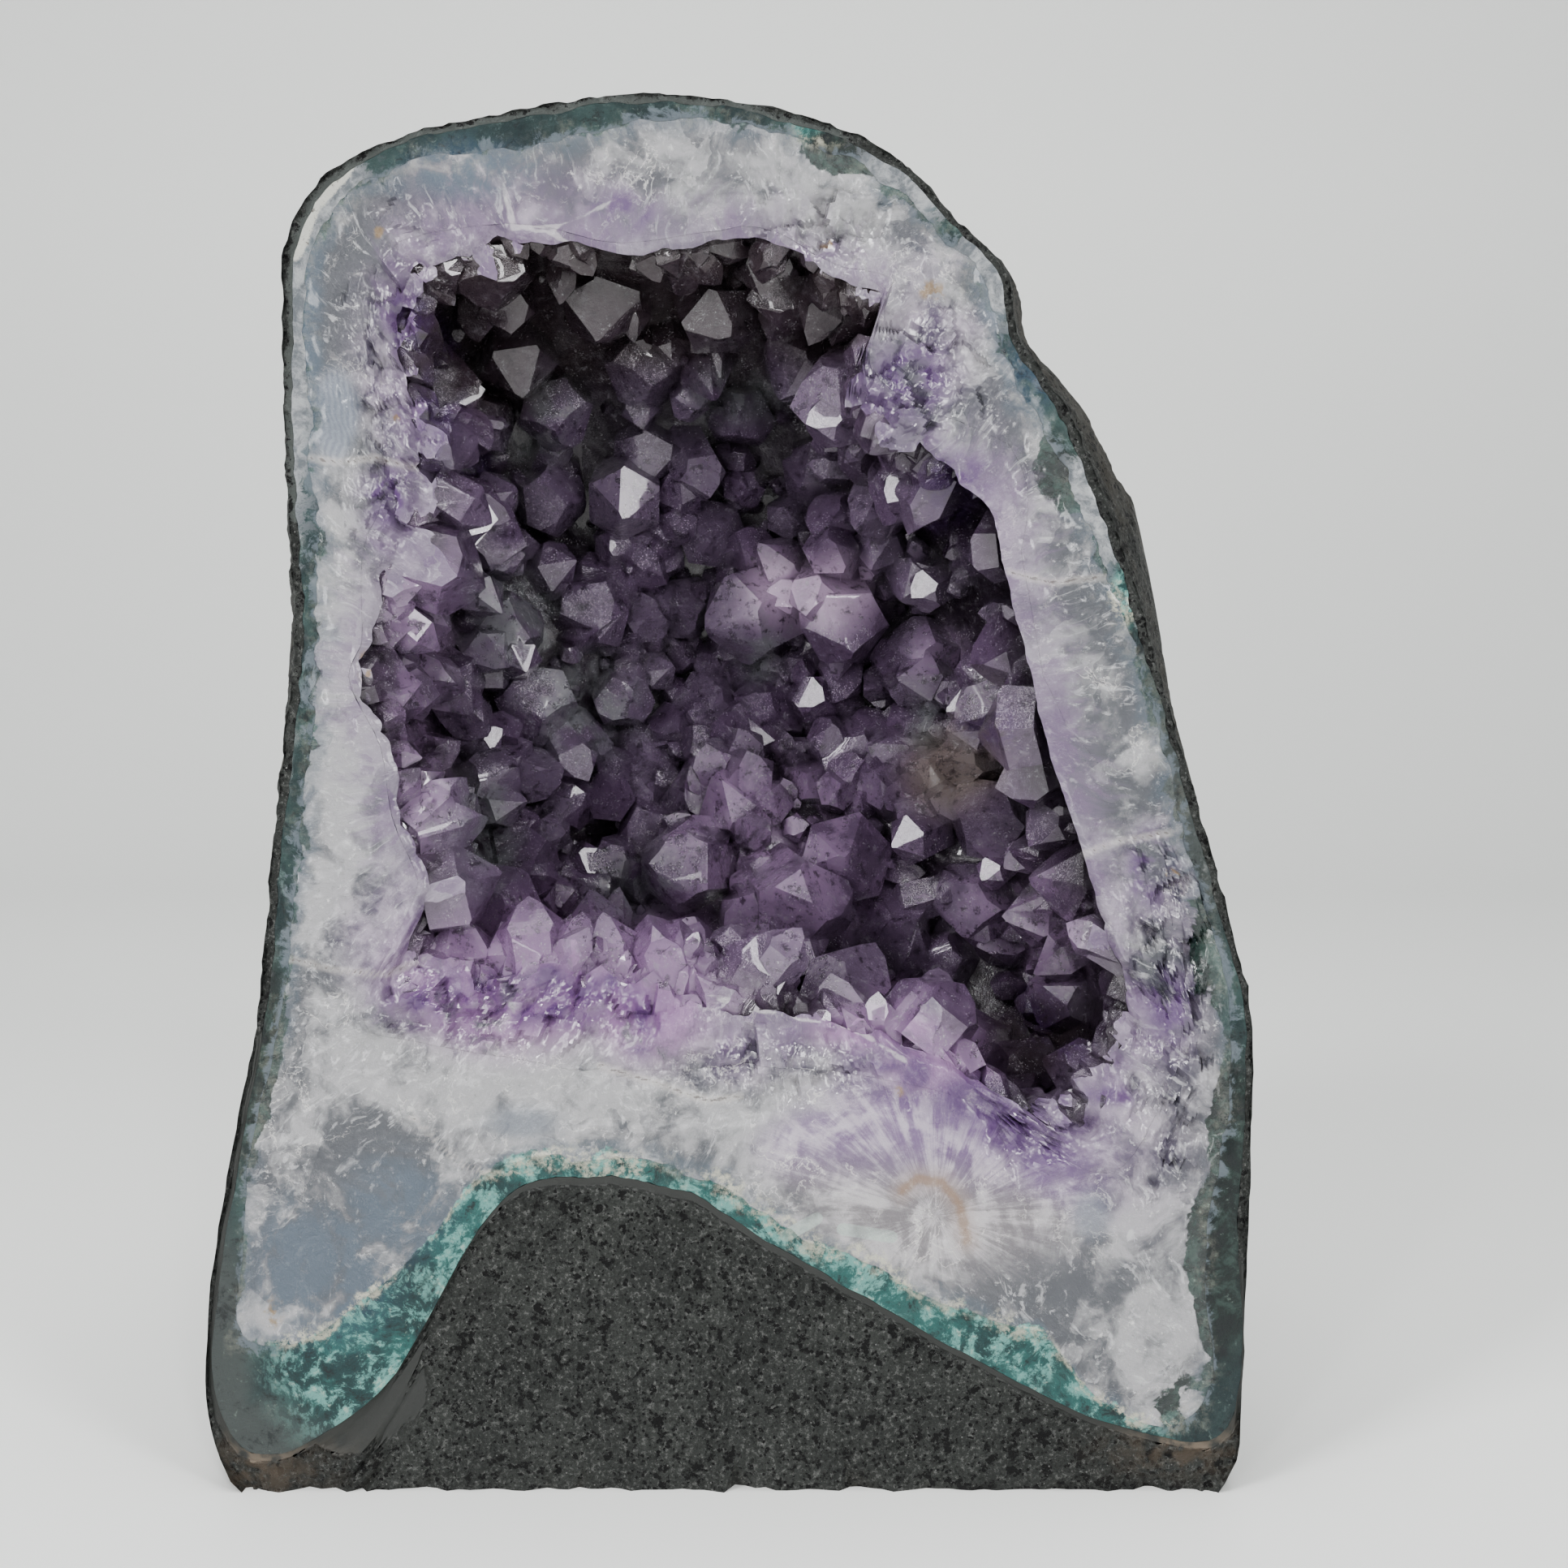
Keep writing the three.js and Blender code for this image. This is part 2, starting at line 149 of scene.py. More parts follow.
# Fields of colour on the front by attribute: x, z, half width, half height
FRONT_FIELDS = {
    # Deep violet
    "violet": [
        (-60, 95, 3, 3), (-51, 95, 2.5, 3), (-35, 100, 3.5, 3), (-23, 99, 2, 2), (-17, 90, 4, 6),
        (-39, 96, 26, 6), (36, 81, 4, 5), (46, 76, 9, 6), (54, 70, 7, 5), (61, 65, 7, 6),
        (30, 84, 8, 3), (74, 77, 6, 2), (66, 88, 5, 6), (-62, 227, 5, 8), (-66, 193, 6, 7),
        (-20, 247, 8, 5), (35, 215, 9, 9), (51, 148, 5, 5), (81, 121, 5, 9), (85, 94, 5, 8),
        (-57, 207, 4, 12), (44, 196, 8, 6),
    ],
    # Purple and lilac along the lower ledge
    "ledge": [(-42, 99, 24, 15), (-16, 97, 14, 15), (28, 90, 14, 5), (42, 83, 14, 6)],
    # Pale lilac haze
    "haze": [
        (36, 76, 24, 14), (-60, 214, 12, 34), (-40, 246, 26, 10), (82, 108, 12, 34), (62, 68, 26, 20),
        (0, 86, 20, 8), (40, 226, 14, 14), (-66, 108, 10, 14), (50, 186, 8, 22), (-64, 180, 8, 14),
        (66, 84, 10, 16),
    ],
    # Blue-grey quartz near the rind
    "blue": [
        (-50, 255, 12, 6), (-84, 44, 8, 14), (-76, 44, 12, 14), (-64, 56, 11, 10), (58, 216, 5, 8),
        (-82, 222, 4, 30),
    ],
    # Grey patches
    "grey": [(-40, 72, 7.5, 3.5), (70, 54, 4, 5), (-75, 208, 4, 9), (51, 233, 3, 8)],
    # Clear, dark quartz
    "clear": [
        (-30, 254, 34, 8), (84, 100, 9, 34), (50, 68, 18, 10), (-78, 60, 16, 26), (74, 150, 9, 34),
        (60, 40, 16, 12), (-74, 232, 8, 20), (40, 250, 16, 8), (-72, 52, 20, 26),
    ],
    # Milky quartz
    "milky": [
        (-44, 78, 26, 8), (-72, 150, 9, 40), (4, 72, 18, 7), (-76, 122, 9, 16), (10, 252, 22, 7),
        (80, 32, 9, 9),
    ],
    # Rough where crystals were broken
    "broken": [
        (35, 216, 14, 15), (-62, 222, 9, 22), (-64, 195, 8, 12), (84, 105, 9, 22), (84, 78, 10, 18),
        (60, 70, 14, 9), (-38, 93, 27, 9), (10, 84, 20, 7), (18, 244, 14, 8), (-60, 96, 8, 8),
    ],
    # Agate bands that follow the rind
    "banded": [(-75.5, 208, 5, 10), (52, 233, 4, 9)],
    # Brown spots
    "stain": [
        (39, 232, 2.4, 1.7), (19, 241, 1.3, 1), (-67, 243, 1, 1), (-64, 208, 0.8, 1),
        (-70, 160, 1.4, 2.6), (-88, 35, 1.6, 2.8), (33, 78, 0.9, 0.9), (85, 120, 2, 0.7),
    ],
    # Rays round BURST_CENTRE
    "burst": [(42, 62, 32, 22), (20, 66, 16, 10)],
    # Pale middle of the rays
    "core": [(40, 52, 9, 9)],
    # Turquoise rind
    "teal": [
        (-72, 28, 13, 14), (-50, 50, 9, 9), (-30, 62, 16, 5), (0, 54, 16, 8), (24, 42, 14, 8),
        (48, 28, 16, 9), (72, 16, 12, 7), (18, 263, 4.5, 3), (76, 173, 2.5, 4.5),
    ],
    # Dark green rind
    "moss": [
        (94, 44, 9, 18), (88, 98, 6, 16), (84, 24, 6, 10), (-92, 90, 6, 24), (62, 196, 5, 8),
        (22, 258, 8, 5), (97, 70, 6, 14),
    ],
    # Rind worn to milky quartz
    "bare": [(-85, 222, 6, 34), (-77, 250, 8, 9), (34, 252, 10, 7), (52, 236, 8, 10), (70, 190, 6, 12)],
    # Slate-grey rind
    "slate": [(-99, 26, 7, 26), (-86, 12, 14, 7), (92, 150, 10, 40)],
}
BURST_CENTRE = (40, 54)

# Fields of colour on the crystals, as they are seen in the mouth
HOLLOW_FIELDS = {
    "smoke": [
        (-41, 175, 9, 12), (-28, 160, 13, 11), (5, 171, 5, 7), (-18, 122, 10, 9), (-47, 133, 6, 16),
        (1, 219, 9, 6), (-37, 215, 9, 9), (38, 156, 4, 6),
    ],
    "lilac": [
        (-60, 170, 8, 22), (62, 108, 8, 12), (-6, 96, 12, 6), (34, 92, 14, 8), (9, 182, 8, 9),
        (21, 180, 9, 9), (40, 169, 7, 7), (1, 145, 10, 8), (-3, 136, 6, 6), (11, 131, 22, 21),
        (51, 122, 12, 9), (-57, 136, 6, 6), (-60, 146, 7, 30), (-48, 214, 5, 5), (30, 215, 8, 10),
    ],
    "pink": [(9, 182, 8, 9), (21, 180, 9, 9)],
    "yellow": [(43, 146, 11, 10)],
    # Painted shade: dark brown-grey under the overhanging top lip, and one patch at the lower right
    "brown": [(-20, 234, 42, 13), (20, 230, 14, 9), (-48, 224, 14, 12), (58, 92, 9, 9)],
}

# Lines on the front by attribute, as x and z along each
FRONT_LINES = {
    "chipped": [[(-83.5, 240), (-80.5, 248), (-74, 255.5)]],
    "crack": [
        [(-81, 200), (-75, 199), (-68, 200), (-62, 198.5), (-58, 199)],
        [(-86, 104), (-76, 101.5), (-66, 100.5), (-60, 103), (-56, 109)],
        [(54, 178), (62, 176), (72, 177)],
        [(-25, 83), (-12, 79), (-4, 76), (2, 77)],
        [(85, 128), (74, 126), (64, 122)],
        [(-62, 74), (-52, 64), (-40, 60)],
    ],
    "crest": [
        [(-43, 252), (-41, 244), (-34, 243.5), (-27, 246.5), (-21, 249.5), (-16.5, 254)],
        [(-34, 243), (-28.5, 240), (-22, 238.5)],
        [(-6, 97), (8, 93), (24, 90), (34, 84)],
    ],
    "rust": [[(33.4, 58.7), (36.5, 61.1), (41.2, 60.3), (44.4, 56.4), (46, 49)]],
    "pale_table": [[(11, 50), (17, 53.4)], [(22, 51.3), (31.5, 49.8)]],
}

# The basalt's front: its depth, the directions in degrees of the sawn foot and of the crusted rim,
# the smooth patches at the left foot and the brown dirt at the corners
FRONT_FACE = 2.5
SAWN_ARC = (-142, -48)
RIM_ARC = (75, 160)
SMOOTH_BASALT = [(-73, 12, 9, 5), (-64, 20, 6, 8)]
DIRT_FIELDS = [(88, 8, 12, 4), (-92, 4, 12, 5)]

# How far the lip of the hollow is broken back, by direction
LIP_FLARE = [
    (-30, 2), (-23, 0), (38, 0), (46, 3), (60, 3), (75, 1), (105, 1), (120, 3), (160, 4), (175, 1.5),
    (215, 1.5), (226, 5), (262, 5), (268, 2), (285, 1.5), (300, 4), (325, 5),
]
LIP_DEPTH = 7
LOBE_WIDTH = 11
LOBE_DEPTH = 2.6
LIP_ROUNDING = 2.5

# Fineness of the meshes
FULL_SPOKES = 720
SKIN_SPOKES = 480
HOLLOW_SPOKES = 540
SKIN_ROWS = 150
MARGIN_ROWS = 26
RIND_ROWS = 8
QUARTZ_ROWS = 40
LINING_ROWS = 30
HOLLOW_ROWS = 36
HIDDEN_STEPS = np.radians(np.linspace(8, 80, 6))
SMOOTHING = math.radians(40)

# Roughness of the basalt: size, octaves and height of each noise, and the levels they vary round
BROAD_LUMPS = (30, 3, 2.2)
SMALL_LUMPS = (9, 4, 1.1)
FINE_LUMPS = (4, 3, 0.65)
LUMP_LEVEL = 0.9
LEAST_INSET = 0.4
FINE_PITS = (2.6, 4, 0.8)
BROAD_PITS = (11, 2, 0.3)
PIT_LEVEL = 0.7
DEEPEST_PIT = 2
FOOT_CHIPS = 4
# Half width that the lumps keep to, and the smooth margin next to the rind
SIDE_LIMIT = 100.6
MARGIN_WIDTH = 2.2
# Relief of the quartz: height of the polish, facets as spacing, slope and seed, level and depth of breaks
POLISH_HEIGHT = 0.16
LARGE_FACETS = (7, 0.5, 3)
SMALL_FACETS = (3, 0.55, 4)
BREAK_LEVEL = 1.6
DEEPEST_BREAK = 4
# Radius on which the unevenness of the outlines is laid
MEAN_RADIUS = 120
# Faces of the uncut lining nearer than this belong to the polished front
FRONT_REACH = 7
# How far the hollow's empty space stands out in front of the stone
MOUTH_REACH = 8

# Crystals that fill in between the large ones: count and range of radius
MIDDLING_CRYSTALS = (260, (4.5, 6.5))
SMALL_CRYSTALS = (420, (2.2, 4.2))
TINY_CRYSTALS = (420, (0.9, 2.0))


# Shape of the layers

def whole_turn(count):
    """Directions evenly round the centre."""
    return np.linspace(0, 2 * math.pi, count, endpoint=False)


def polar(p):
    """Direction and distance from the centre, as seen from the front."""
    across, up = p[..., 0] - CENTRE[0], p[..., 2] - CENTRE[1]
    return np.arctan2(up, across), np.hypot(across, up)


def around(knots):
    """A value by direction, from (degrees, value) knots."""
    angles = np.radians([a for a, _ in knots])
    values = np.array([v for _, v in knots], float)
    return lambda angle: np.interp(angle, angles, values, period=2 * math.pi)


def centripetal(p, steps):
    """Points of a closed centripetal Catmull-Rom curve."""
    count = len(p)
    out = []
    for i in range(count):
        p0, p1, p2, p3 = p[i - 1], p[i], p[(i + 1) % count], p[(i + 2) % count]
        d0, d1, d2 = (np.linalg.norm(b - a) ** 0.5 for a, b in ((p0, p1), (p1, p2), (p2, p3)))
        t1 = ((p1 - p0) / d0 - (p2 - p0) / (d0 + d1) + (p2 - p1) / d1) * d1
        t2 = ((p2 - p1) / d1 - (p3 - p1) / (d1 + d2) + (p3 - p2) / d2) * d1
        for k in range(steps):
            t = k / steps
            c2 = -3 * p1 + 3 * p2 - 2 * t1 - t2
            c3 = 2 * p1 - 2 * p2 + t1 + t2
            out.append(p1 + t1 * t + c2 * t * t + c3 * t ** 3)
    return np.array(out)


def edge_radius(outline):
    """Distance of a closed outline from the centre, by direction."""
    points = centripetal(np.array(outline, float) - np.array(CENTRE), 5)
    angles = np.arctan2(points[:, 1], points[:, 0])
    radii = np.hypot(points[:, 0], points[:, 1])
    return lambda angle: np.interp(angle, angles, radii, period=2 * math.pi)


def uneven(edge, size, grain, seed):
    """The same outline with natural unevenness, always inwards."""
    turn = whole_turn(1440)
    reach = MEAN_RADIUS / grain
    path = np.stack((np.cos(turn) * reach, np.sin(turn) * reach, np.full_like(turn, seed)), axis=-1)
    wave = np.array([noise.fractal(Vector(q), 0.9, 2.0, 4) for q in path])
    inward = size * np.clip(0.5 + 0.8 * wave, 0, 1.4)
    return lambda angle: edge(angle) - np.interp(angle, turn, inward, period=2 * math.pi)


skin_edge = edge_radius(SKIN_EDGE)
rind_edge = uneven(edge_radius(RIND_EDGE), 1.1, 9, 3.1)
quartz_edge = uneven(edge_radius(QUARTZ_EDGE), 2.0, 8, 7.7)
mouth_edge = edge_radius(MOUTH_EDGE)
skin_swell = around(SKIN_SWELL)
quartz_swell = around(QUARTZ_SWELL)
hollow_swell = around(HOLLOW_SWELL)
lining_width = around(LINING_WIDTH)
lip_flare = around(LIP_FLARE)


def lining_edge(angle):
    return mouth_edge(angle) + lining_width(angle)


def lining_swell(angle):
    return hollow_swell(angle) - lining_width(angle) * 0.5


def dome(edge, swell, depth, angle, phi, inset=0.0):
    """Points of a dome that starts at an outline on the front and closes at the back."""
    t = np.sin(phi)
    radius = (edge(angle) - inset) * np.cos(phi) + swell(angle) * 4 * t * (1 - t)
    y = (depth - inset) * t
    x = CENTRE[0] + radius * np.cos(angle)
    z = CENTRE[1] - DROP_PER_DEPTH * y + radius * np.sin(angle)
    return np.stack(np.broadcast_arrays(x, y, z), axis=-1)


def hollow(angle, phi):
    """Wall of the hollow, with its mounds."""
    p = dome(mouth_edge, hollow_swell, HOLLOW_DEPTH, angle, phi)
    low, high = 0.3 * HOLLOW_DEPTH, 0.8 * HOLLOW_DEPTH
    s = np.clip((p[..., 1] - low) / (high - low), 0, 1)
    deep = s * s * (3 - 2 * s)
    for x, z, height, spread in MOUNDS:
        reach = (p[..., 0] - x) ** 2 + (p[..., 2] - z) ** 2
        p[..., 1] -= deep * height * np.exp(-reach / spread ** 2)
    return p


def lip_notches(angle):
    """How far the lip is cut back: rounded crystal ends with sharp notches between them."""
    spot = ring(mouth_edge, angle)
    along = angle * 65 + fractal(spot, 14, 3) * 7
    lobes = 1 - np.abs(np.sin(math.pi * along / LOBE_WIDTH))
    flare = lip_flare(angle)
    ragged = flare * (0.6 + 0.5 * fractal(spot, 5, 3)) + 0.4 * fractal(spot, 7, 4)
    return ragged + lobes * LOBE_DEPTH * np.clip(flare / 3, 0, 1)


def open_wall(angle, phi):
    """Wall of the hollow before crystals grow on it, wider where the lip is broken back."""
    p = hollow(angle, phi)
    wider = lip_notches(angle) * np.clip(1 - p[..., 1] / LIP_DEPTH, 0, 1)
    p[..., 0] += wider * np.cos(angle)
    p[..., 2] += wider * np.sin(angle)
    return p


def to_row(points):
    """Millimetres on the front's frame to metres in the row frame."""
    p = np.asarray(points, float)
    x = p[..., 0] - ORIGIN_SHIFT[0]
    y = p[..., 1] * math.cos(LEAN) + p[..., 2] * math.sin(LEAN) - ORIGIN_SHIFT[1]
    z = -p[..., 1] * math.sin(LEAN) + p[..., 2] * math.cos(LEAN)
    return np.stack((x, y, z), axis=-1) * MM


def to_front(points):
    """Metres in the row frame back to millimetres on the front's frame."""
    p = np.asarray(points, float) / MM
    x = p[..., 0] + ORIGIN_SHIFT[0]
    y = p[..., 1] + ORIGIN_SHIFT[1]
    return np.stack((x, y * math.cos(LEAN) - p[..., 2] * math.sin(LEAN),
                     y * math.sin(LEAN) + p[..., 2] * math.cos(LEAN)), axis=-1)


# Mesh building

def link(name, mesh):
    made = bpy.data.objects.new(name, mesh)
    bpy.context.scene.collection.objects.link(made)
    return made


def closed_rows(name, rows, first, last):
    """A closed mesh of rings of points, with a fan to a point at each end; local millimetres."""
    count = len(rows[0])
    points = np.concatenate([[first]] + list(rows) + [[last]])
    faces = []
    for j in range(count):
        k = (j + 1) % count
        faces.append((0, 1 + k, 1 + j))
        for r in range(len(rows) - 1):
            a = 1 + r * count
            faces.append((a + j, a + k, a + count + k, a + count + j))
        a = 1 + (len(rows) - 1) * count
        faces.append((a + j, a + k, len(points) - 1))
    mesh = bpy.data.meshes.new(name)
    mesh.from_pydata([tuple(p) for p in to_row(points)], [], faces)
    mesh.update()
    return mesh


@contextmanager
def edited(mesh):
    """The mesh in a form that can be edited, written back at the end."""
    shape = bmesh.new()
    shape.from_mesh(mesh)
    yield shape
    shape.to_mesh(mesh)
    shape.free()


def face_outward(mesh):
    with edited(mesh) as shape:
        if shape.calc_volume(signed=True) < 0:
            bmesh.ops.reverse_faces(shape, faces=shape.faces)


def ring(edge, angles, relief=0.0):
    """Points of an outline on the front."""
    radius = edge(angles)
    return np.stack((CENTRE[0] + radius * np.cos(angles), np.zeros_like(angles) + relief,
                     CENTRE[1] + radius * np.sin(angles)), axis=-1)


def fractal(points, scale, octaves=4):
    """Fractal noise from about -1 to 1 at points in local millimetres."""
    flat = np.asarray(points, float).reshape(-1, 3) / scale
    values = [noise.fractal(Vector(p), 0.8, 2.1, octaves) for p in flat]
    return np.array(values).reshape(np.asarray(points).shape[:-1])


def cut_at_floor(mesh):
    with edited(mesh) as shape:
        everything = shape.verts[:] + shape.edges[:] + shape.faces[:]
        bmesh.ops.bisect_plane(shape, geom=everything, plane_co=(0, 0, 0), plane_no=(0, 0, -1),
                               clear_outer=True)
        rim = [e for e in shape.edges if e.is_boundary]
        bmesh.ops.holes_fill(shape, edges=rim, sides=0)
        bmesh.ops.triangulate(shape, faces=[f for f in shape.faces if len(f.verts) > 4])


def rough(p, size, octaves, height):
    return fractal(p, size, octaves) * height


def skin_row(angles, phi):
    """One ring of the rough outside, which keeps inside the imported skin."""
    p = dome(skin_edge, skin_swell, SKIN_DEPTH, angles, phi)
    away_from_edges = min(2 * math.sin(2 * phi), 1)
    lumps = rough(p, *BROAD_LUMPS) + rough(p, *SMALL_LUMPS)
    bulk = lumps * away_from_edges + rough(p, *FINE_LUMPS)
    outward = p - np.array((CENTRE[0], 0.35 * SKIN_DEPTH, CENTRE[1] - 10))
    outward /= np.linalg.norm(outward, axis=-1, keepdims=True)
    push = np.minimum(bulk - LUMP_LEVEL, -LEAST_INSET)
    p = p + outward * push[:, None]
    p[:, 0] -= np.sign(p[:, 0]) * np.maximum(np.abs(p[:, 0]) - SIDE_LIMIT, 0) * 0.5
    p[:, 0] *= 1 - 0.05 * np.clip(1 - p[:, 2] / CORNER_ROUNDING, 0, 1) ** 2
    p[:, 1] = np.maximum(p[:, 1], 0)
    return p


def margin_row(angles, p):
    """One ring of the basalt's front: pitted, smooth next to the rind, chipped at the foot."""
    pits = np.clip(PIT_LEVEL + rough(p, *FINE_PITS) + rough(p, *BROAD_PITS), 0, DEEPEST_PIT)
    step = np.clip((polar(p)[1] - rind_edge(angles)) / MARGIN_WIDTH, 0, 1)
    near_floor = np.clip(FOOT_CHIPS - p[:, 2], 0, FOOT_CHIPS)
    chipped = near_floor * np.clip(0.4 + fractal(p, 7, 3), 0, 1) * 0.7
    p[:, 1] = pits * step + (1 - step) * front_relief(p) + chipped
    return p


def make_skin():
    """Basalt: rough outside, pitted dark front, hidden inside."""
    angles = whole_turn(SKIN_SPOKES)
    rows = [skin_row(angles, phi) for phi in np.linspace(math.radians(89), 0, SKIN_ROWS)]
    outer = rows[-1]
    inner = ring(lambda a: rind_edge(a) + 0.05, angles)
    for share in np.linspace(0, 1, MARGIN_ROWS)[1:]:
        rows.append(margin_row(angles, outer * (1 - share) + inner * share))
    for phi in np.linspace(0, math.radians(80), 7)[1:]:
        rows.append(dome(rind_edge, quartz_swell, RIND_DEPTH, angles, phi, -GAP / 2))
    back = dome(skin_edge, skin_swell, SKIN_DEPTH, 0.0, math.pi / 2)
    back[1] -= 0.8
    mesh = closed_rows("basalt", rows, back, dome(rind_edge, quartz_swell, RIND_DEPTH, 0.0, math.pi / 2))
    face_outward(mesh)
    cut_at_floor(mesh)
    return link("basalt", mesh)


def make_layer(name, outer_edge, outer_swell, outer_depth, inner_edge, inner_swell, inner_depth, across):
    """A layer between two domes whose front is a fine grid."""
    angles = whole_turn(FULL_SPOKES)
    rows = [dome(outer_edge, outer_swell, outer_depth, angles, phi, GAP / 2) for phi in HIDDEN_STEPS[::-1]]
    outer = ring(lambda a: outer_edge(a) - 0.02, angles)
    inner = ring(lambda a: inner_edge(a) + 0.02, angles)
    for share in np.linspace(0, 1, across):
        p = outer * (1 - share) + inner * share
        p[:, 1] = front_relief(p)
        rows.append(p)
    for phi in HIDDEN_STEPS:
        rows.append(dome(inner_edge, inner_swell, inner_depth, angles, phi, -GAP / 2))
    first = dome(outer_edge, outer_swell, outer_depth, 0.0, math.pi / 2, GAP / 2)
    last = dome(inner_edge, inner_swell, inner_depth, 0.0, math.pi / 2, -GAP / 2)
    mesh = closed_rows(name, rows, first, last)
    face_outward(mesh)
    return link(name, mesh)


def crystal_facets(p, spacing, slope, seed):
    """Height of a field of small tilted facets, in millimetres about 0."""
    rng = random.Random(seed)
    columns, rows = int(240 / spacing), int(300 / spacing)
    seeds = [((i + rng.random()) * spacing - 120, (k + rng.random()) * spacing)
             for i in range(columns) for k in range(rows)]
    tilts = [(rng.uniform(-slope, slope), rng.uniform(-slope, slope), rng.uniform(-0.5, 0.5))
             for _ in seeds]
    tree = KDTree(len(seeds))
    for i, (x, z) in enumerate(seeds):
        tree.insert((x, 0, z), i)
    tree.balance()
    heights = []
    for x, _, z in p:
        (sx, _, sz), i, _ = tree.find((x, 0, z))
        tx, tz, rise = tilts[i]
        heights.append((x - sx) * tx + (z - sz) * tz + rise)
    return np.array(heights)


def front_relief(p):
    """How far the front lies behind the polished plane: almost flat, rough where crystals were broken."""
    polished = np.clip(0.1 + POLISH_HEIGHT * fractal(p, 6, 3), 0, 1)
    share = np.clip(field(p, FRONT_FIELDS["broken"]) * 1.6 + 0.4 * fractal(p, 9, 3) - 0.25, 0, 1)
    broken = BREAK_LEVEL + crystal_facets(p, *LARGE_FACETS) + 0.7 * crystal_facets(p, *SMALL_FACETS)
    return polished + share * np.clip(broken, 0, DEEPEST_BREAK)


# Crystals

class Dice:
    """The same repeatable random numbers as the solids were grown with."""

    def __init__(self, seed):
        self.state = seed

    def __call__(self):
        self.state = (self.state * 1664525 + 1013904223) % 4294967296
        return self.state / 4294967296


def wobble(rng, size):
    """A small random vector."""
    return Vector([rng.uniform(-size, size) for _ in range(3)])


def inward_normal(angle, phi):
    step = 0.02
    along = hollow(angle + step, phi) - hollow(angle - step, phi)
    across = hollow(angle, phi + step) - hollow(angle, phi - step)
    normal = np.cross(across, along)
    normal /= np.linalg.norm(normal)
    to_centre = np.array((CENTRE[0], HOLLOW_DEPTH * 0.25, CENTRE[1])) - hollow(angle, phi)
    return -normal if normal @ to_centre < 0 else normal


def wall_spot_behind(x, z):
    """Where a spot seen in the mouth lands on the wall of the hollow."""
    angles = np.arange(180) * math.pi / 90
    phis = np.arange(2, 45) * math.pi / 92
    grid_angle, grid_phi = np.meshgrid(angles, phis, indexing="ij")
    p = hollow(grid_angle, grid_phi)
    share = -EYE[1] / (p[..., 1] - EYE[1])
    seen_x = EYE[0] + (p[..., 0] - EYE[0]) * share
    seen_z = EYE[2] + (p[..., 2] - EYE[2]) * share
    best = np.argmin(np.hypot(seen_x - x, seen_z - z))
    return grid_angle.flat[best], grid_phi.flat[best]


def crystal(base, axis, radius, length, tip, lean, spin, taper=0.9):
    """Corner points and faces of a six-sided crystal with three large and three small end faces."""
    apothem = radius * math.cos(math.pi / 6)
    slope = tip / apothem
    lift = tip * (0.04 + 0.25 * abs(math.sin(5 * spin)))
    shoulder = max(length - tip, 0.5)
    split = 2 * lift / slope
    side_shift = lift / slope
    turn = Vector((0, 1, 0)).rotation_difference(Vector(axis)).to_matrix() @ Matrix.Rotation(spin, 3, "Y")

    def at(direction, out, sideways, height):
        a = math.radians(direction)
        x = out * math.sin(a) + sideways * math.cos(a)
        z = out * math.cos(a) - sideways * math.sin(a)
        bend = max(height - shoulder, 0) / tip
        return turn @ Vector((x + lean[0] * bend, height, z + lean[1] * bend)) + Vector(base)

    corners, faces = [], []
    for k in range(6):
        corners.append(at(30 + 60 * k, radius * taper, 0, -ROOT_DEPTH))
    for k in range(6):
        corners.append(at(30 + 60 * k, radius, 0, shoulder))
    top = len(corners)
    corners.append(at(0, 0, 0, shoulder + tip))
    faces.append(tuple(range(5, -1, -1)))
    for k in range(0, 6, 2):
        large, small = 60 * k, 60 * k + 60
        split_point = len(corners)
        half_side = radius / 2
        corners.append(at(small, split, 0, shoulder + tip - slope * split / 2))
        reach = half_side - side_shift / math.cos(math.pi / 6)
        corners.append(at(small, apothem, -reach, shoulder + lift))
        corners.append(at(small, apothem, reach, shoulder + lift))
        left, right = split_point + 1, split_point + 2
        before, after, beyond = (k - 1) % 6, k, (k + 1) % 6
        faces.append((before, after, 6 + after, 6 + before))
        faces.append((after, beyond, 6 + beyond, right, left, 6 + after))
        faces.append((split_point, left, right))
        previous = top + 1 + 3 * ((k // 2 - 1) % 3)
        faces.append((top, previous, previous + 2, 6 + before, 6 + after, left, split_point))
    return corners, faces


def main_crystals():
    """The crystals of the solids, in the same places."""
    dice = Dice(SEED)
    spots = []
    for x, z, radius, length in LARGE_CRYSTALS:
        angle, phi = wall_spot_behind(x, z)
        spots.append((angle, phi, hollow(angle, phi), radius, length))
    for _ in range(CRYSTAL_TRIES):
        angle = dice() * 2 * math.pi
        phi = math.acos(1 - dice())
        point = hollow(angle, phi)
        if any(np.linalg.norm(s[2] - point) < CRYSTAL_SPACING for s in spots):
            continue
        radius = CRYSTAL_RADIUS[0] + dice() * (CRYSTAL_RADIUS[1] - CRYSTAL_RADIUS[0])
        spots.append((angle, phi, point, radius, radius * (1.15 + 0.6 * dice())))
    grown = []
    for angle, phi, point, radius, length in spots:
        wander = (np.array((dice(), dice(), dice())) - 0.5) * 0.7
        axis = inward_normal(angle, phi) + wander
        tip = radius * (0.95 + 0.3 * dice()) * BLUNTNESS
        lean = ((dice() - 0.5) * 0.35 * radius, (dice() - 0.5) * 0.35 * radius)
        grown.append((point, axis / np.linalg.norm(axis), radius, length, tip, lean, dice() * math.pi))
    return grown


